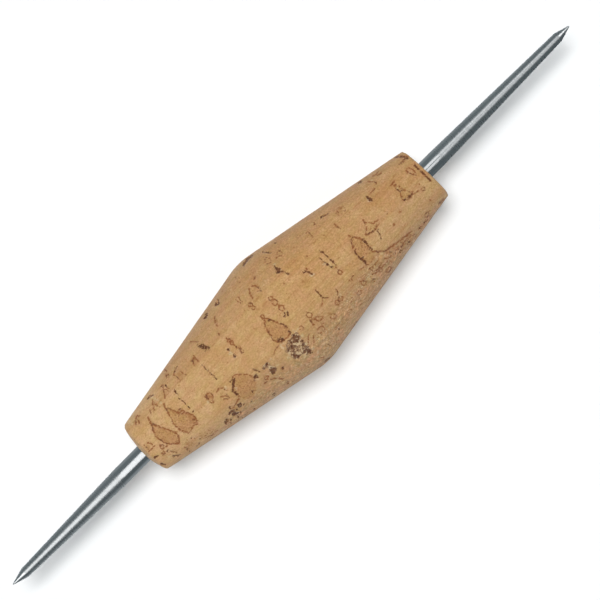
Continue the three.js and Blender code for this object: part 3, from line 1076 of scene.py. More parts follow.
# %% Rings, stains and powdery rims on the seen side
for x, y, across, high, strength in [
        (-38.0, 1.2, 0.55, 0.4, 1.0), (-37.7, 0.4, 0.55, 0.4, 1.0), (-47.4, -2.1, 0.55, 0.55, 0.95),
        (-48.2, -3.5, 0.4, 0.35, 0.7), (-17.05, 4.7, 0.45, 0.45, 1.0), (-16.9, 3.9, 0.45, 0.45, 0.9),
        (-16.6, 1.9, 0.4, 0.5, 0.7), (-16.7, 0.5, 0.45, 0.5, 0.6), (-2.3, 4.8, 0.45, 0.5, 0.8),
        (-2.3, 3.3, 0.75, 0.8, 1.0), (-2.15, 1.2, 0.6, 0.8, 1.0), (-7.0, 7.2, 0.5, 0.5, 1.0),
        (-7.0, 6.2, 0.5, 0.5, 1.0), (-7.0, 3.0, 0.42, 0.6, 1.0), (-4.8, 13.8, 0.6, 0.9, 0.5),
        (-9.7, 14.8, 0.6, 0.35, 0.4), (3.8, 11.9, 0.75, 0.85, 0.68), (7.1, 11.1, 0.75, 0.8, 0.68),
        (-2.2, -5.8, 0.6, 0.5, 0.8), (1.5, -4.9, 0.7, 0.75, 0.85), (1.0, -9.6, 1.1, 0.8, 0.72),
        (5.5, -9.4, 0.8, 0.65, 0.8), (8.6, -7.7, 0.6, 0.6, 0.9), (9.9, -7.6, 0.7, 0.6, 0.85),
        (14.2, -9.9, 0.6, 0.55, 0.6), (14.4, -2.9, 0.5, 0.55, 0.8), (16.6, -8.9, 0.6, 0.7, 0.8),
        (18.7, -10.1, 0.6, 0.4, 0.6), (23.3, -11.0, 0.8, 0.5, 0.95), (26.0, 7.7, 0.5, 0.6, 0.6),
        (43.4, -2.9, 0.5, 0.45, 0.8), (39.6, -8.1, 0.7, 0.45, 0.7), (13.4, 10.8, 0.55, 0.45, 0.45),
        (31.5, -10.0, 0.6, 0.4, 0.55), (9.0, -11.6, 0.8, 0.5, 0.45), (12.6, -11.9, 0.6, 0.4, 0.45),
        (20.6, -8.2, 0.5, 0.35, 0.5), (29.0, -8.9, 0.55, 0.4, 0.6), (34.0, -9.6, 0.5, 0.3, 0.55),
        (-17.0, -8.4, 0.6, 0.5, 0.95), (11.5, -9.6, 0.6, 0.5, 0.5), (-0.6, -14.3, 0.6, 0.4, 0.4)]:
    ring(x, y, across, high, strength)

spots("stain", [(-37.2, -1.6, 1.1), (-37.0, -3.0, 1.1), (-42.3, -6.4, 0.9), (-41.4, 7.0, 0.8),
                (-37.2, 7.1, 0.6), (-31.8, 7.6, 1.0), (-31.2, 8.8, 0.6),
                (-16.4, -6.6, 0.7), (-6.5, -10.3, 0.9), (-8.2, -8.8, 0.8), (3.8, 8.6, 0.8),
                (22.9, 1.0, 0.5), (8.8, 3.2, 0.7), (-34.0, 9.6, 0.7), (-26.6, 7.4, 0.8),
                (-15.9, 10.6, 0.7), (39.5, -1.6, 0.7), (-46.8, 7.1, 0.7), (26.5, -8.1, 1.0),
                (28.5, -8.4, 1.0), (21.5, 9.8, 0.7), (-22.6, 7.9, 0.9), (-17.0, 4.4, 0.8),
                (36.0, 7.1, 0.7), (44.8, 6.8, 0.7), (7.0, -4.4, 0.6), (-47.7, -2.8, 0.8),
                (-30.2, -2.0, 0.9), (-28.0, -8.6, 1.3), (-31.3, -9.2, 0.9), (-14.5, -8.3, 0.9),
                (-14.6, -6.2, 0.8), (1.2, -6.2, 1.1), (-2.6, 9.4, 0.7), (24.8, 8.0, 1.0),
                (30.5, -8.9, 0.9), (-45.9, -5.4, 0.7), (-49.6, 0.3, 0.8), (26.2, -9.2, 0.9),
                (32.6, -9.3, 0.9),
                (29.4, -9.8, 0.8), (23.2, -8.4, 0.9), (17.0, -8.3, 0.9),
                (9.4, -7.5, 1.0), (5.4, -8.6, 1.0), (-12.6, -9.2, 0.8)], strength=0.5)
spots("powder", [(-7.5, -5.6, 0.6), (-4.0, -5.3, 0.5), (-8.9, -6.0, 0.5), (-3.4, -7.2, 0.5),
                 (-9.6, -8.8, 0.5), (-3.5, -9.6, 0.5), (-3.7, -11.2, 0.5), (-6.6, -11.3, 0.5),
                 (-22.6, 7.9, 0.6), (-18.85, 2.2, 0.5), (-14.4, -7.3, 0.5), (-24.3, -4.8, 0.4),
                 (-12.9, -8.0, 0.5), (-12.9, -6.0, 0.4), (-48.8, 7.8, 0.6), (-40.0, 6.9, 0.5),
                 (9.3, 1.4, 0.4), (10.2, -6.9, 0.5), (12.9, 1.2, 0.4), (-25.8, -2.9, 0.4),
                 (-16.4, -8.0, 0.4), (-8.9, -5.2, 0.5), (36.0, 7.6, 0.4),
                 (4.3, 10.0, 0.4), (-31.4, -2.4, 0.4), (-47.9, -5.0, 0.4)], strength=0.8)
veins([
    [(-8.5, -5.3), (-5.5, -5.35), (-2.6, -5.3)],
    [(-40.5, 8.6), (-40.0, 7.0), (-39.8, 5.6)],
    [(8.6, 2.2), (8.8, 0.4)],
    [(-4.6, -14.2), (-3.6, -12.9), (-3.0, -12.0)],
    [(-2.4, -13.6), (-0.8, -11.7)],
    [(39.05, 2.0), (39.05, 0.8)],
], layer="powder", strength=0.62, reach=0.5)
seen_marks = len(marks)
print("marks on the seen side:", seen_marks)

# %% [markdown]
# ### Marks on the sides that the picture doesn't show
#
# The channels run one way through the whole grip. Opposite the seen side they are cut along
# their length again, as slits and leaves. On the two sides between they come out end on, as
# pits, rings and clusters. Random draws place them, from a fixed seed, so that every run
# gives the same cork.

# %% Scattered marks
draw = random.Random(31)
ANGLE_BACK = (125, 235)
ANGLE_SIDES = ((78, 124), (224, 282))
SCATTER_REACH = (-49.5, 45.5)
THICKEST = 17
BACK_COUNT = 110
SIDE_COUNT = 56
END_COUNT = 14
END_REACH = 7
END_BAND = (3.4, 6.9)


def radius_at(x):
    """The grip's radius at some place along it, in millimetres."""
    return float(np.interp(x * MM, outline_place[:len(outside)], outline_radius[:len(outside)])) / MM


def wild_slit(x, view):
    height = draw.uniform(1.2, 3.4)
    bend = draw.uniform(-0.5, 0.5)
    points = [(x + bend * (step / 3) + draw.uniform(-0.2, 0.2), height * (0.5 - step / 4))
              for step in range(5)]
    mark("slit", points, draw.uniform(0.24, 0.32), draw.uniform(0.7, 1.0), view=view)
    spots("slit", [(*draw.choice(points), draw.uniform(0.2, 0.32))], view=view)


def wild_leaf(x, view):
    height, width = draw.uniform(2.0, 4.2), draw.uniform(0.9, 2.1)
    fat_end = draw.choice((-1, 1))
    points = []
    for step in range(14):
        turn = 2 * math.pi * step / 14
        taper = 0.55 - 0.45 * fat_end * math.cos(turn)
        wander = draw.uniform(0.85, 1.15)
        points.append((x + width * taper * math.sin(turn) * wander, height * math.cos(turn) * wander))
    patch(points, draw.uniform(0.5, 0.95), draw.uniform(0.4, 0.9), view=view)


def wild_cluster(x, view):
    count = draw.randint(5, 13)
    width, height = draw.uniform(0.8, 2.2), draw.uniform(1.0, 3.0)
    places = [(x + draw.gauss(0, width / 2), draw.gauss(0, height / 2), draw.uniform(0.22, 0.6))
              for _ in range(count)]
    spots("pit", places[::2], 1.0, view)
    mark("crumb", [(px, py) for px, py, _ in places[:4]], 1.1, 1.0, view=view)


def wild_ring(x, view):
    ring(x, 0, draw.uniform(0.4, 0.9), draw.uniform(0.35, 0.75), draw.uniform(0.4, 0.9), view=view)


def wild_vein(x, view):
    points = [(x + draw.uniform(-0.7, 0.7), (step - 2) * draw.uniform(0.5, 0.8)) for step in range(5)]
    mark("vein", points, 0.28, draw.uniform(0.5, 0.9), view=view)


def wild_dot(x, view):
    spots("pit", [(x, 0, draw.uniform(0.16, 0.3))], draw.uniform(0.6, 1.0), view)


def wild_stain(x, view):
    spots("stain", [(x, 0, draw.uniform(0.5, 1.0))], draw.uniform(0.4, 0.7), view)


def scatter(makers, count, angles):
    """Marks of several kinds in turn, more of them where the grip is thick."""
    for number in range(count):
        maker = makers[number % len(makers)]
        x = draw.uniform(*SCATTER_REACH)
        while draw.uniform(0, THICKEST) > radius_at(x):
            x = draw.uniform(*SCATTER_REACH)
        maker(x, math.radians(draw.uniform(*angles)))


scatter([wild_slit, wild_leaf, wild_vein, wild_ring, wild_slit, wild_dot, wild_vein, wild_stain, wild_dot],
        BACK_COUNT, ANGLE_BACK)
for angles in ANGLE_SIDES:
    scatter([wild_ring, wild_dot, wild_cluster, wild_dot, wild_ring, wild_stain, wild_vein, wild_dot],
            SIDE_COUNT, angles)

for view in (LEFT_END, RIGHT_END):
    for _ in range(END_COUNT):
        across, up = draw.uniform(-1, 1) * END_REACH, draw.uniform(-1, 1) * END_REACH
        if END_BAND[0] < math.hypot(across, up) < END_BAND[1]:
            length = draw.uniform(0.4, 1.6)
            mark(draw.choice(("vein", "slit", "pit")), [(across, up - length / 2), (across, up + length / 2)],
                 0.26, draw.uniform(0.5, 0.9), view=view)

# The loose-grained band along the near side: where it starts, in degrees round from the top
POROUS_PLACES = (-36, -30, -22, -14, -6, 0, 12, 22, 24, 28, 35, 47)
POROUS_ANGLES = (70, 52, 44, 40, 36, 33, 33, 30, 26, 42, 56, 62)
POROUS_CALM = (80, 104)
POROUS_END = (124, 150)
POROUS_COUNT = 120
POROUS_REACH = (-30, 46.5)
for _ in range(POROUS_COUNT):
    x = draw.uniform(*POROUS_REACH)
    angle = math.radians(np.interp(x, POROUS_PLACES, POROUS_ANGLES) + draw.uniform(1, 85))
    maker = draw.choice(("ring", "ring", "wave"))
    if maker == "ring":
        ring(x, 0, draw.uniform(0.35, 0.9), draw.uniform(0.3, 0.6), draw.uniform(0.35, 0.62), 0.34,
             view=angle, tilt=draw.uniform(-0.6, 0.6))
    else:
        width = draw.uniform(0.6, 1.5)
        points = [(x + width * step, draw.uniform(-0.45, 0.45)) for step in (-1, -0.4, 0.3, 1)]
        mark("vein", points, 0.34, draw.uniform(0.35, 0.6), view=angle)
print("marks on the other sides:", len(marks) - seen_marks)

# %% [markdown]
# ### How the marks reach the mesh
#
# Looking along a mark's own direction turns the grip's surface into a flat picture. There
# the distance from each mesh point to the mark's line is plain geometry. The points are
# shaken a little first, so that no mark has a machine-drawn edge.

# %% The strength of every layer at every point
# Each shake: the size of its noise, then how far it moves a point
SHAKES = ((0.8 * MM, 0.17 * MM), (0.3 * MM, 0.07 * MM))
SHAKE_SEED = 1
LEFT_FACE_REACH = CROWN + 2.2 * MM
RIGHT_FACE_REACH = FLAT_END - 0.9 * MM
VIEW_MARGIN = 0.5 * MM


def shaken(points):
    """The points, each moved a little by noise, the same way on every run."""
    noise.seed_set(SHAKE_SEED)
    moved = points.copy()
    for size, reach in SHAKES:
        moved += reach * np.array([noise.noise_vector(Vector(point) / size) for point in points])
    return moved


def flattened(points, view):
    """The points as seen from one side, and which of them face that way."""
    if view == LEFT_END:
        return points[:, 1:], points[:, 0] < LEFT_FACE_REACH
    if view == RIGHT_END:
        return points[:, 1:], points[:, 0] > RIGHT_FACE_REACH
    across = points[:, 1] * math.cos(view) + points[:, 2] * math.sin(view)
    towards = points[:, 2] * math.cos(view) - points[:, 1] * math.sin(view)
    nearer = camera_height / (camera_height - towards)
    x = camera_place.x + (points[:, 0] - camera_place.x) * nearer
    return np.column_stack((x, across * nearer)), towards > 0


def line_distance(points, line, closed):
    """How far each flat point lies from a polyline."""
    if len(line) == 1:
        return np.linalg.norm(points - line[0], axis=1)
    ends = np.roll(line, -1, axis=0) if closed else line[1:]
    nearest = np.full(len(points), np.inf)
    for start, end in zip(line, ends):
        along = end - start
        share = np.clip((points - start) @ along / max(along @ along, 1e-15), 0, 1)
        nearest = np.minimum(nearest, np.linalg.norm(points - start - share[:, None] * along, axis=1))
    return nearest


def inside(points, outline):
    """Which flat points lie inside a closed outline."""
    result = np.zeros(len(points), bool)
    for start, end in zip(outline, np.roll(outline, -1, axis=0)):
        spans = (start[1] > points[:, 1]) != (end[1] > points[:, 1])
        rise = end[1] - start[1]
        crossing = start[0] + (points[:, 1] - start[1]) * (end[0] - start[0]) / (rise if rise else 1e-15)
        result ^= spans & (points[:, 0] < crossing)
    return result


def each_mark(points, margin, layers):
    """For each mark of some layers: the mark, the points near it and their distance to its line."""
    moved = shaken(points)
    views = {}
    for one in marks:
        if one.layer not in layers:
            continue
        if one.view not in views:
            views[one.view] = flattened(moved, one.view)
        flat, facing = views[one.view]
        low, high = one.line.min(0) - one.reach - margin, one.line.max(0) + one.reach + margin
        near = np.flatnonzero(facing & (flat > low).all(1) & (flat < high).all(1))
        if len(near):
            yield one, near, flat[near], line_distance(flat[near], one.line, one.closed)


def layers_at(points):
    """Each layer's strength at each point."""
    strengths = {layer: np.zeros(len(points)) for layer in LAYERS}
    for one, near, flat, distance in each_mark(points, VIEW_MARGIN, LAYERS):
        if one.filled:
            distance = np.where(inside(flat, one.line), -distance, distance)
            share = np.clip(0.5 - distance / one.reach, 0, 1)
        else:
            share = np.clip(1 - distance / one.reach, 0, 1)
        layer = strengths[one.layer]
        layer[near] = np.maximum(layer[near], one.strength * share)
    return strengths


def clearance_at(points, margin):
    """How far each point lies from the edge of the nearest mark that is carved."""
    clearance = np.full(len(points), np.inf)
    for one, near, _, distance in each_mark(points, margin, CARVED_LAYERS):
        clearance[near] = np.minimum(clearance[near], distance - one.reach)
    return clearance


# %% [markdown]
# ### The mesh
#
# The coarse shape is a closed ring of faces, 128 round the axis. Each pass splits the faces
# that a mark touches into four, and at the end every point goes to the true surface. Two
# passes bring the spacing from 0.8 mm down to 0.2 mm where there is something to carve.

# %% The coarse grip, then finer at the marks
CELL = 0.8 * MM
GRIP_SIDES = 128
BORE_RINGS = 12
PASS_TOLERANCES = (0.25 * MM, -0.10 * MM)


def coarse_grip():
    """The grip as even rings of faces, with each point's place along the outline kept."""
    mesh = bmesh.new()
    along = mesh.verts.layers.float.new("along")
    outside_rings = np.linspace(0, outside_length, round(outside_length / CELL) + 1)
    bore_rings = np.linspace(outline_length[len(outside)], outline_length[-2], BORE_RINGS)
    rings = []
    for length in (*outside_rings, *bore_rings):
        place = np.interp(length, outline_length, outline_place)
        radius = np.interp(length, outline_length, outline_radius)
        turns = [2 * math.pi * side / GRIP_SIDES for side in range(GRIP_SIDES)]
        rings.append([mesh.verts.new((place, radius * math.cos(turn), radius * math.sin(turn)))
                      for turn in turns])
        for vertex in rings[-1]:
            vertex[along] = length
    for ring_number, near_ring in enumerate(rings):
        far_ring = rings[(ring_number + 1) % len(rings)]
        for side in range(GRIP_SIDES):
            after = (side + 1) % GRIP_SIDES
            mesh.faces.new((near_ring[side], far_ring[side], far_ring[after], near_ring[after]))
    bmesh.ops.recalc_face_normals(mesh, faces=mesh.faces)
    return mesh, along


def true_places(mesh, along):
    """Where the mesh's points belong on the real surface."""
    lengths = np.array([vertex[along] for vertex in mesh.verts])
    turns = np.array([math.atan2(vertex.co.z, vertex.co.y) for vertex in mesh.verts])
    return on_grip(lengths, turns)


def split_at_marks(mesh, along, tolerance):
    """Splits every face that a mark may touch."""
    clearance = clearance_at(true_places(mesh, along), tolerance)
    mesh.verts.index_update()
    touched = [face for face in mesh.faces
               if min(clearance[vertex.index] for vertex in face.verts) < tolerance
               and max(vertex[along] for vertex in face.verts) <= outside_length + 0.001 * MM]
    edges = {edge for face in touched for edge in face.edges}
    bmesh.ops.subdivide_edges(mesh, edges=list(edges), cuts=1, use_grid_fill=True)


grip_work, along_layer = coarse_grip()
for tolerance in PASS_TOLERANCES:
    split_at_marks(grip_work, along_layer, tolerance)
    print("grip faces after a pass:", len(grip_work.faces))

grip_points = true_places(grip_work, along_layer)
for vertex, point in zip(grip_work.verts, grip_points):
    vertex.co = point
grip_start = bpy.data.meshes.new("grip_start")
grip_work.to_mesh(grip_start)
grip_work.free()

# %% The layers become attributes of the mesh
def porous_share(points):
    """1 in the loose-grained band along the near side of the grip, and 0 elsewhere."""
    angle = np.degrees(np.arctan2(-points[:, 1], points[:, 2])) % 360
    start = np.interp(points[:, 0] / MM, POROUS_PLACES, POROUS_ANGLES)
    calmer = 1 - 0.5 * soft_step(angle, *POROUS_CALM)
    return soft_step(angle - start, 0, 6) * (1 - soft_step(angle, *POROUS_END)) * calmer


def keep_attribute(mesh, name, values):
    """Stores one value for each point of the mesh."""
    attribute = mesh.attributes.new(name, "FLOAT", "POINT")
    attribute.data.foreach_set("value", values.astype(np.float32))


strengths = layers_at(grip_points)
for layer, values in strengths.items():
    keep_attribute(grip_start, layer, values)
keep_attribute(grip_start, "porous", porous_share(grip_points))
print("points that carry marks:", int(sum(values > 0 for values in strengths.values()).astype(bool).sum()))

# %% [markdown]
# ### The finish of the cork
#
# Sanded cork is matt and never one colour. It grows in flat layers, so it carries faint
# reddish lines across one axis, here Y. A greyer, darker zone past each flank, as seen from
# above, is painted shade: slabs across Y through the whole piece. On top come clouds, a grain
# as fine as the cells, worm-like scribbles where the cork is loose, and a scatter of specks.
# All of that is noise in the object's own space, so it runs through the piece as it does in
# the real material. The marks' colours come from the attributes, and noise frays their edges
# and breaks them into beads.

# %% Cork
CORK_TAN = (0.512, 0.301, 0.133, 1)
CORK_ORANGE = (0.472, 0.250, 0.095, 1)
CORK_PALE = (0.575, 0.363, 0.174, 1)
GROWTH_LINE = (0.42, 0.205, 0.080, 1)
# The next two colours are painted shade for the flanks as seen from above, darker and greyer than the tan
NEAR_FLANK_SHADE = (0.460, 0.275, 0.132, 1)
FAR_FLANK_SHADE = (0.455, 0.258, 0.118, 1)
POROUS_PINK = (0.515, 0.278, 0.134, 1)
POROUS_BROWN = (0.34, 0.19, 0.094, 1)
PATCH_ORANGE = (0.445, 0.235, 0.096, 1)
PATCH_DARK = (0.27, 0.12, 0.048, 1)
STAIN_BROWN = (0.36, 0.165, 0.062, 1)
POWDER_PALE = (0.58, 0.43, 0.25, 1)
VEIN_RED = (0.235, 0.076, 0.028, 1)
VEIN_DARK = (0.15, 0.050, 0.027, 1)
SLIT_BROWN = (0.136, 0.055, 0.025, 1)
PIT_BROWN = (0.165, 0.066, 0.030, 1)
PIT_DARK = (0.092, 0.034, 0.018, 1)
CRUMB_PURPLE = (0.145, 0.068, 0.039, 1)
CRUMB_GREY = (0.30, 0.19, 0.12, 1)
GRAIN_DARK = (0.80, 0.77, 0.70, 1)
GRAIN_LIGHT = (1.145, 1.17, 1.225, 1)
DOMED_END_TONE = (1.07, 1.11, 1.21, 1)
FLAT_END_TONE = (0.935, 0.955, 1.02, 1)
WARM_TONE = (0.99, 0.945, 0.90, 1)
TINT_PINK = (1.02, 0.975, 1.03, 1)
TINT_YELLOW = (0.985, 1.03, 0.94, 1)
# Where the painted shade of the flanks begins and ends across Y
NEAR_FLANK_SHADE_EDGE = (-4.6 * MM, -8.0 * MM)
FAR_FLANK_SHADE_EDGE = (5.8 * MM, 8.4 * MM)
GRAIN_DEPTH = 0.05 * MM


def frayed(tree, layer, fray, low, high, amount, run=1.0):
    """A layer's share, with its edge broken up by one noise and its run by another."""
    value = add(tree, "ShaderNodeAttribute", attribute_name=layer).outputs["Fac"]
    shift = arithmetic(tree, "MULTIPLY_ADD", fray, amount, -amount / 2)
    shift = arithmetic(tree, "MULTIPLY", shift, ramp(tree, value, 0.0, 0.35))
    broken = arithmetic(tree, "MULTIPLY", value, run)
    return ramp(tree, arithmetic(tree, "ADD", broken, shift), low, high)


def cork():
    material, tree, shader = new_material("natural_cork", {
        "Specular IOR Level": 0.12, "Sheen Weight": 0.09, "Sheen Roughness": 0.5})
    place = add(tree, "ShaderNodeTexCoord").outputs["Object"]
    along, across, _ = add(tree, "ShaderNodeSeparateXYZ", {"Vector": place}).outputs

    def spread(*size, detail=2.0, roughness=0.5):
        """Noise of a size in millimetres, spread over the whole range from 0 to 1."""
        size = tuple(length * MM for length in size)
        return ramp(tree, pattern(tree, place, size, detail, roughness), 0.34, 0.66, smooth=False)

    def times(first, second):
        return arithmetic(tree, "MULTIPLY", first, second)

    def coated(colour, *coats):
        """A colour with coats laid over it one by one, each given as (share, colour)."""
        for share, coat in coats:
            colour = blend_colours(tree, share, colour, coat)
        return colour

    clouds = spread(10, 6, 8)
    patches = spread(3.2, 2.4, 2.4, detail=3.0, roughness=0.6)
    growth = spread(24, 1.1, 16, detail=3.0, roughness=0.6)
    threads = spread(7, 0.34, 5)
    grain = spread(0.50, 0.44, 0.44, detail=3.0, roughness=0.7)
    mottle = spread(1.0, 0.9, 0.9, detail=4.0, roughness=0.7)
    fray = spread(0.42, 0.42, 0.42, detail=3.0, roughness=0.6)
    beads = spread(0.62, 0.62, 0.62, detail=1.0)
    lumps = spread(0.85, 0.85, 0.85, detail=3.0, roughness=0.6)
    tint = spread(2.4, 1.7, 1.7, detail=3.0)
    worms = pattern(tree, place, (1.6 * MM, 1.2 * MM, 1.2 * MM), 2.0, 0.6)

    # Clouds, painted shade that darkens and greys the flanks as seen from above, and tones that change slowly
    # along the grip
    drift = pattern(tree, place, (16 * MM, 9 * MM, 9 * MM))
    wobbly_across = arithmetic(tree, "ADD", across, arithmetic(tree, "MULTIPLY_ADD", drift, 7 * MM, -3.5 * MM))
    fading = ramp(tree, along, -42 * MM, -24 * MM, 0.3, 1.0)
    # Painted shade: slabs across Y darken and grey the flanks as seen from above; the same masks make the
    # cork looser there
    near_flank_shade_and_looseness = times(ramp(tree, wobbly_across, *NEAR_FLANK_SHADE_EDGE), fading)
    far_flank_shade_and_looseness = times(ramp(tree, wobbly_across, *FAR_FLANK_SHADE_EDGE), fading)
    colour = coated(
        CORK_TAN,
        (ramp(tree, clouds, 0.35, 1.0, 0.0, 0.55), CORK_ORANGE),
        (ramp(tree, patches, 0.5, 1.0, 0.0, 0.5), CORK_PALE),
        (times(near_flank_shade_and_looseness, 0.8), NEAR_FLANK_SHADE),
        (times(far_flank_shade_and_looseness, 0.6), FAR_FLANK_SHADE))
    domed = ramp(tree, along, -18 * MM, -45 * MM)
    flat = ramp(tree, along, 4 * MM, 40 * MM)
    warm = times(ramp(tree, along, -6 * MM, 10 * MM), ramp(tree, wobbly_across, -3 * MM, 1.5 * MM))
    for share, tone in ((warm, WARM_TONE), (domed, DOMED_END_TONE), (flat, FLAT_END_TONE)):
        colour = blend_colours(tree, share, colour, tone, "MULTIPLY")

    # Growth lines, then the loose-grained band
    thread_share = times(ramp(tree, threads, 0.7, 1.0, 0.0, 0.22),
                         ramp(tree, along, -6 * MM, 16 * MM, 1.0, 1.7))
    porous = add(tree, "ShaderNodeAttribute", attribute_name="porous").outputs["Fac"]
    colour = coated(
        colour,
        (ramp(tree, growth, 0.6, 0.95, 0.0, 0.34), GROWTH_LINE),
        (ramp(tree, growth, 0.38, 0.1, 0.0, 0.2), CORK_PALE),
        (thread_share, GROWTH_LINE),
        (times(porous, ramp(tree, patches, 0.6, 0.2, 0.0, 0.8)), POROUS_PINK),
        (times(porous, ramp(tree, mottle, 0.45, 1.0, 0.0, 0.6)), POROUS_BROWN),
        (times(porous, ramp(tree, mottle, 0.4, 0.0, 0.0, 0.5)), POWDER_PALE))

    # Worm-like scribbles and specks, where the cork is loose. The dark scribbles are stains; beside each runs
    # a pale line, a painted highlight that makes them look embossed.
    loose = arithmetic(tree, "MULTIPLY_ADD", porous, 0.75, 0.12)
    loose = arithmetic(tree, "MULTIPLY_ADD", far_flank_shade_and_looseness, 0.28, loose)
    loose = arithmetic(tree, "MULTIPLY_ADD", near_flank_shade_and_looseness, 0.25, loose)
    strewn = times(ramp(tree, patches, 0.35, 0.7), loose)

    def scribble(middle):
        """A thin line wherever the worm noise passes through some value."""
        away = arithmetic(tree, "ABSOLUTE", arithmetic(tree, "SUBTRACT", worms, middle))
        return ramp(tree, away, 0.024, 0.004)

    speck = times(ramp(tree, beads, 0.86, 1.0), ramp(tree, lumps, 0.5, 0.8))
    colour = coated(
        colour,
        (times(times(scribble(0.538), strewn), 0.7), POWDER_PALE),
        (times(times(scribble(0.5), beads), strewn), STAIN_BROWN),
        (times(speck, 0.7), STAIN_BROWN))

    # The soft marks
    leaf = frayed(tree, "patch", fray, 0.25, 0.75, 0.5)
    colour = coated(
        colour,
        (times(leaf, ramp(tree, mottle, 0.1, 0.9, 0.6, 1.0)), PATCH_ORANGE),
        (times(leaf, ramp(tree, fray, 0.5, 0.95, 0.0, 0.7)), PATCH_DARK),
        (times(frayed(tree, "powder", mottle, 0.2, 0.8, 0.9), 0.8), POWDER_PALE),
        (times(frayed(tree, "stain", mottle, 0.05, 0.75, 0.7), 0.8), STAIN_BROWN))

    # Grain and tints over all of that
    shade = blend_colours(tree, grain, GRAIN_DARK, GRAIN_LIGHT)
    tints = blend_colours(tree, tint, TINT_PINK, TINT_YELLOW)
    lumpy = times(loose, ramp(tree, lumps, 0.0, 1.0, -0.2, 0.16, smooth=False))
    for share, tone in ((ramp(tree, along, -16 * MM, 14 * MM, 0.78, 1.0), shade), (1.0, tints),
                        (1.0, arithmetic(tree, "ADD", lumpy, 1.0))):
        colour = blend_colours(tree, share, colour, tone, "MULTIPLY")

    # The dark marks
    crumbs = coated(
        blend_colours(tree, ramp(tree, fray, 0.3, 0.8), CRUMB_PURPLE, CRUMB_GREY),
        (ramp(tree, lumps, 0.40, 0.54), POROUS_BROWN),
        (ramp(tree, lumps, 0.58, 0.76, 0.0, 0.9), POWDER_PALE))
    run = arithmetic(tree, "MULTIPLY_ADD", beads, 0.55, 0.68)
    ragged = arithmetic(tree, "MULTIPLY_ADD", beads, 0.55, times(fray, 0.45))
    dark_run = ramp(tree, spread(1.3, 1.3, 1.3, detail=1.0), 0.55, 0.9)
    vein_colour = blend_colours(tree, dark_run, VEIN_RED, VEIN_DARK)
    pit_colour = blend_colours(tree, ramp(tree, fray, 0.35, 0.75), PIT_DARK, PIT_BROWN)
    colour = coated(
        colour,
        (times(frayed(tree, "crumb", mottle, 0.35, 0.6, 0.8), 0.95), crumbs),
        (times(frayed(tree, "vein", fray, 0.26, 0.76, 0.55, run), 0.85), vein_colour),
        (times(frayed(tree, "slit", fray, 0.30, 0.72, 0.6, run), 0.92), SLIT_BROWN),
        (times(frayed(tree, "pit", ragged, 0.30, 0.62, 1.1), 0.93), pit_colour))
    tree.links.new(colour, shader.inputs["Base Color"])

    roughness = ramp(tree, grain, 0.0, 1.0, 0.8, 0.96)
    tree.links.new(roughness, shader.inputs["Roughness"])
    height = arithmetic(tree, "ADD", grain, times(mottle, times(loose, 1.6)))
    bump = add(tree, "ShaderNodeBump", {"Height": height, "Strength": 0.4, "Distance": GRAIN_DEPTH})
    tree.links.new(bump.outputs[0], shader.inputs["Normal"])
    return material


natural_cork = cork()
print("material:", natural_cork.name)

# %% [markdown]
# ### Carving
#
# The tree reads each layer and pushes the surface inwards by that layer's depth. Pits go
# deepest and have rough floors, slits are narrow, crumbled places are shallow, and veins
# are only a scratch. The loose-grained band is rough all over, and a slow waviness
# everywhere is what hand sanding leaves.

# %% The carving tree
# Each carved layer: its depth, and the strengths between which it reaches that depth
CARVING = {
    "pit": (0.36 * MM, 0.25, 0.8),
    "slit": (0.22 * MM, 0.2, 0.75),
    "vein": (0.07 * MM, 0.2, 0.8),
    "crumb": (0.16 * MM, 0.3, 0.8),
    "patch": (0.04 * MM, 0.3, 0.7),
}
WAVINESS = 0.10 * MM
LOOSENESS = 0.07 * MM
UNCARVED_RADIUS = 2.7 * MM
CARVED_RADIUS = 3.6 * MM


def carving_tree():
    """Pushes the surface inwards by the depth of the marks at each point."""
    tree, given = new_tree("carved_cork", {
        **{f"{layer.title()} Depth": ("NodeSocketFloat", CARVING[layer][0]) for layer in CARVING},
        "Waviness": ("NodeSocketFloat", WAVINESS),
        "Looseness": ("NodeSocketFloat", LOOSENESS),
        "Material": ("NodeSocketMaterial", None),
    })
    place = add(tree, "GeometryNodeInputPosition").outputs[0]
    fray = pattern(tree, place, (0.5 * MM, 0.5 * MM, 0.5 * MM))
    slow = pattern(tree, place, (11 * MM, 7 * MM, 7 * MM), 1.0)
    grain = pattern(tree, place, (1.3 * MM, 1.1 * MM, 1.1 * MM), 3.0, 0.7)
    rough = arithmetic(tree, "MULTIPLY_ADD", fray, 0.8, 0.6)

    def times(first, second):
        return arithmetic(tree, "MULTIPLY", first, second)

    def carved(layer):
        share = ramp(tree, carried(tree, layer), *CARVING[layer][1:])
        return times(times(share, rough), given[f"{layer.title()} Depth"])

    depth = carved("pit")
    for layer in ("slit", "vein", "crumb"):
        depth = arithmetic(tree, "MAXIMUM", depth, carved(layer))
    for more in (carved("patch"), times(times(grain, carried(tree, "porous")), given["Looseness"]),
                 times(slow, given["Waviness"])):
        depth = arithmetic(tree, "ADD", depth, more)
    across = add(tree, "ShaderNodeVectorMath", {0: place, 1: (0.0, 1.0, 1.0)}, operation="MULTIPLY")
    radius = add(tree, "ShaderNodeVectorMath", {0: across.outputs[0]}, operation="LENGTH").outputs["Value"]
    depth = times(depth, ramp(tree, radius, UNCARVED_RADIUS, CARVED_RADIUS))
    outwards = add(tree, "GeometryNodeInputNormal").outputs[0]
    finish_tree(tree, given["Geometry"], outwards, times(depth, -1.0), given["Material"])
    return tree


grip_mesh = made_by(carving_tree(), "carved_cork_grip", grip_start, {"Material": natural_cork})
grip_mesh.calc_loop_triangles()
print("grip triangles:", len(grip_mesh.loop_triangles))

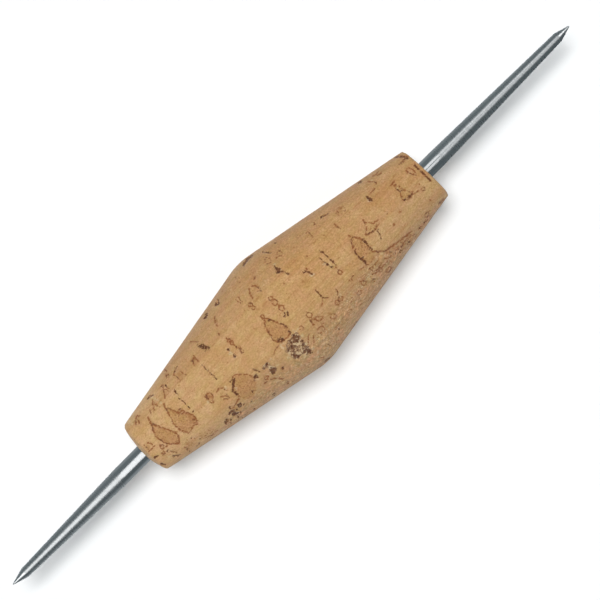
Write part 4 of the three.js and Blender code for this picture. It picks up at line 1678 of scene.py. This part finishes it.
# %% A map for the grip's finish: the side unrolled, and the two ends and the bore beside it
SIDE_SHARE = 0.84
SIDE_MARGIN = (0.01, 0.012)
BORE_CORNER = (0.42, 0.87)
BORE_SIZE = (0.56, 0.11)
END_MIDDLES = {LEFT_END: (0.10, 0.925), RIGHT_END: (0.28, 0.925)}
END_SCALE = 0.068 / (7.7 * MM)
LEFT_END_LENGTH = 5.2 * MM
RIGHT_END_LENGTH = 5.1 * MM


def map_grip(mesh):
    corners, points, centres = corner_values(mesh)
    lengths = read_each(mesh.attributes["along"].data, "value", float)
    middle = face_mean(mesh, lengths[corners])
    around = turns_of(points, centres)
    side = (points[:, 0] - CROWN) / (FLAT_END - CROWN)
    places = np.column_stack((SIDE_MARGIN[0] + (1 - 2 * SIDE_MARGIN[0]) * np.clip(side, 0, 1),
                              SIDE_MARGIN[1] + (SIDE_SHARE - 2 * SIDE_MARGIN[1]) * around))
    right_start = outside_length - RIGHT_END_LENGTH
    chosen_faces = {
        LEFT_END: middle < LEFT_END_LENGTH,
        RIGHT_END: (middle > right_start) & (middle < outside_length),
    }
    for end, chosen in chosen_faces.items():
        places[chosen] = np.array(END_MIDDLES[end]) + points[chosen][:, 1:] * END_SCALE
    bore = (middle > outside_length) | (np.hypot(centres[:, 1], centres[:, 2]) < MOUTH_RADIUS)
    places[bore] = (np.array(BORE_CORNER) + np.array(BORE_SIZE) * np.column_stack((side, around)))[bore]
    set_map(mesh, np.clip(places, 0, 1))


map_grip(grip_mesh)
grip = new_piece("carved_cork_grip", grip_mesh)
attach(grip, "root")
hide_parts("cork_grip")

# %% [markdown]
# ## The glue
#
# A film of hardened glue holds the cork on the rod. It lies out of sight in the bore, and
# the engineering model already has its shape, so it only gets its amber finish.

# %% Hardened glue
GLUE_AMBER = (0.61, 0.42, 0.17, 1)
GLUE_CLOUDY = (0.70, 0.58, 0.36, 1)
BUBBLE_DEPTH = 0.05 * MM


def glue():
    material, tree, shader = new_material("hardened_glue", {"Roughness": 0.35})
    place = add(tree, "ShaderNodeTexCoord").outputs["Object"]
    bubbles = pattern(tree, place, (1.2 * MM, 0.8 * MM, 0.8 * MM), 3.0)
    colour = blend_colours(tree, ramp(tree, bubbles, 0.4, 0.65), GLUE_AMBER, GLUE_CLOUDY)
    tree.links.new(colour, shader.inputs["Base Color"])
    bump = add(tree, "ShaderNodeBump", {"Height": bubbles, "Strength": 0.2, "Distance": BUBBLE_DEPTH})
    tree.links.new(bump.outputs[0], shader.inputs["Normal"])
    return material


glue_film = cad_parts["glue_film"]
glue_film.data.materials.clear()
glue_film.data.materials.append(glue())
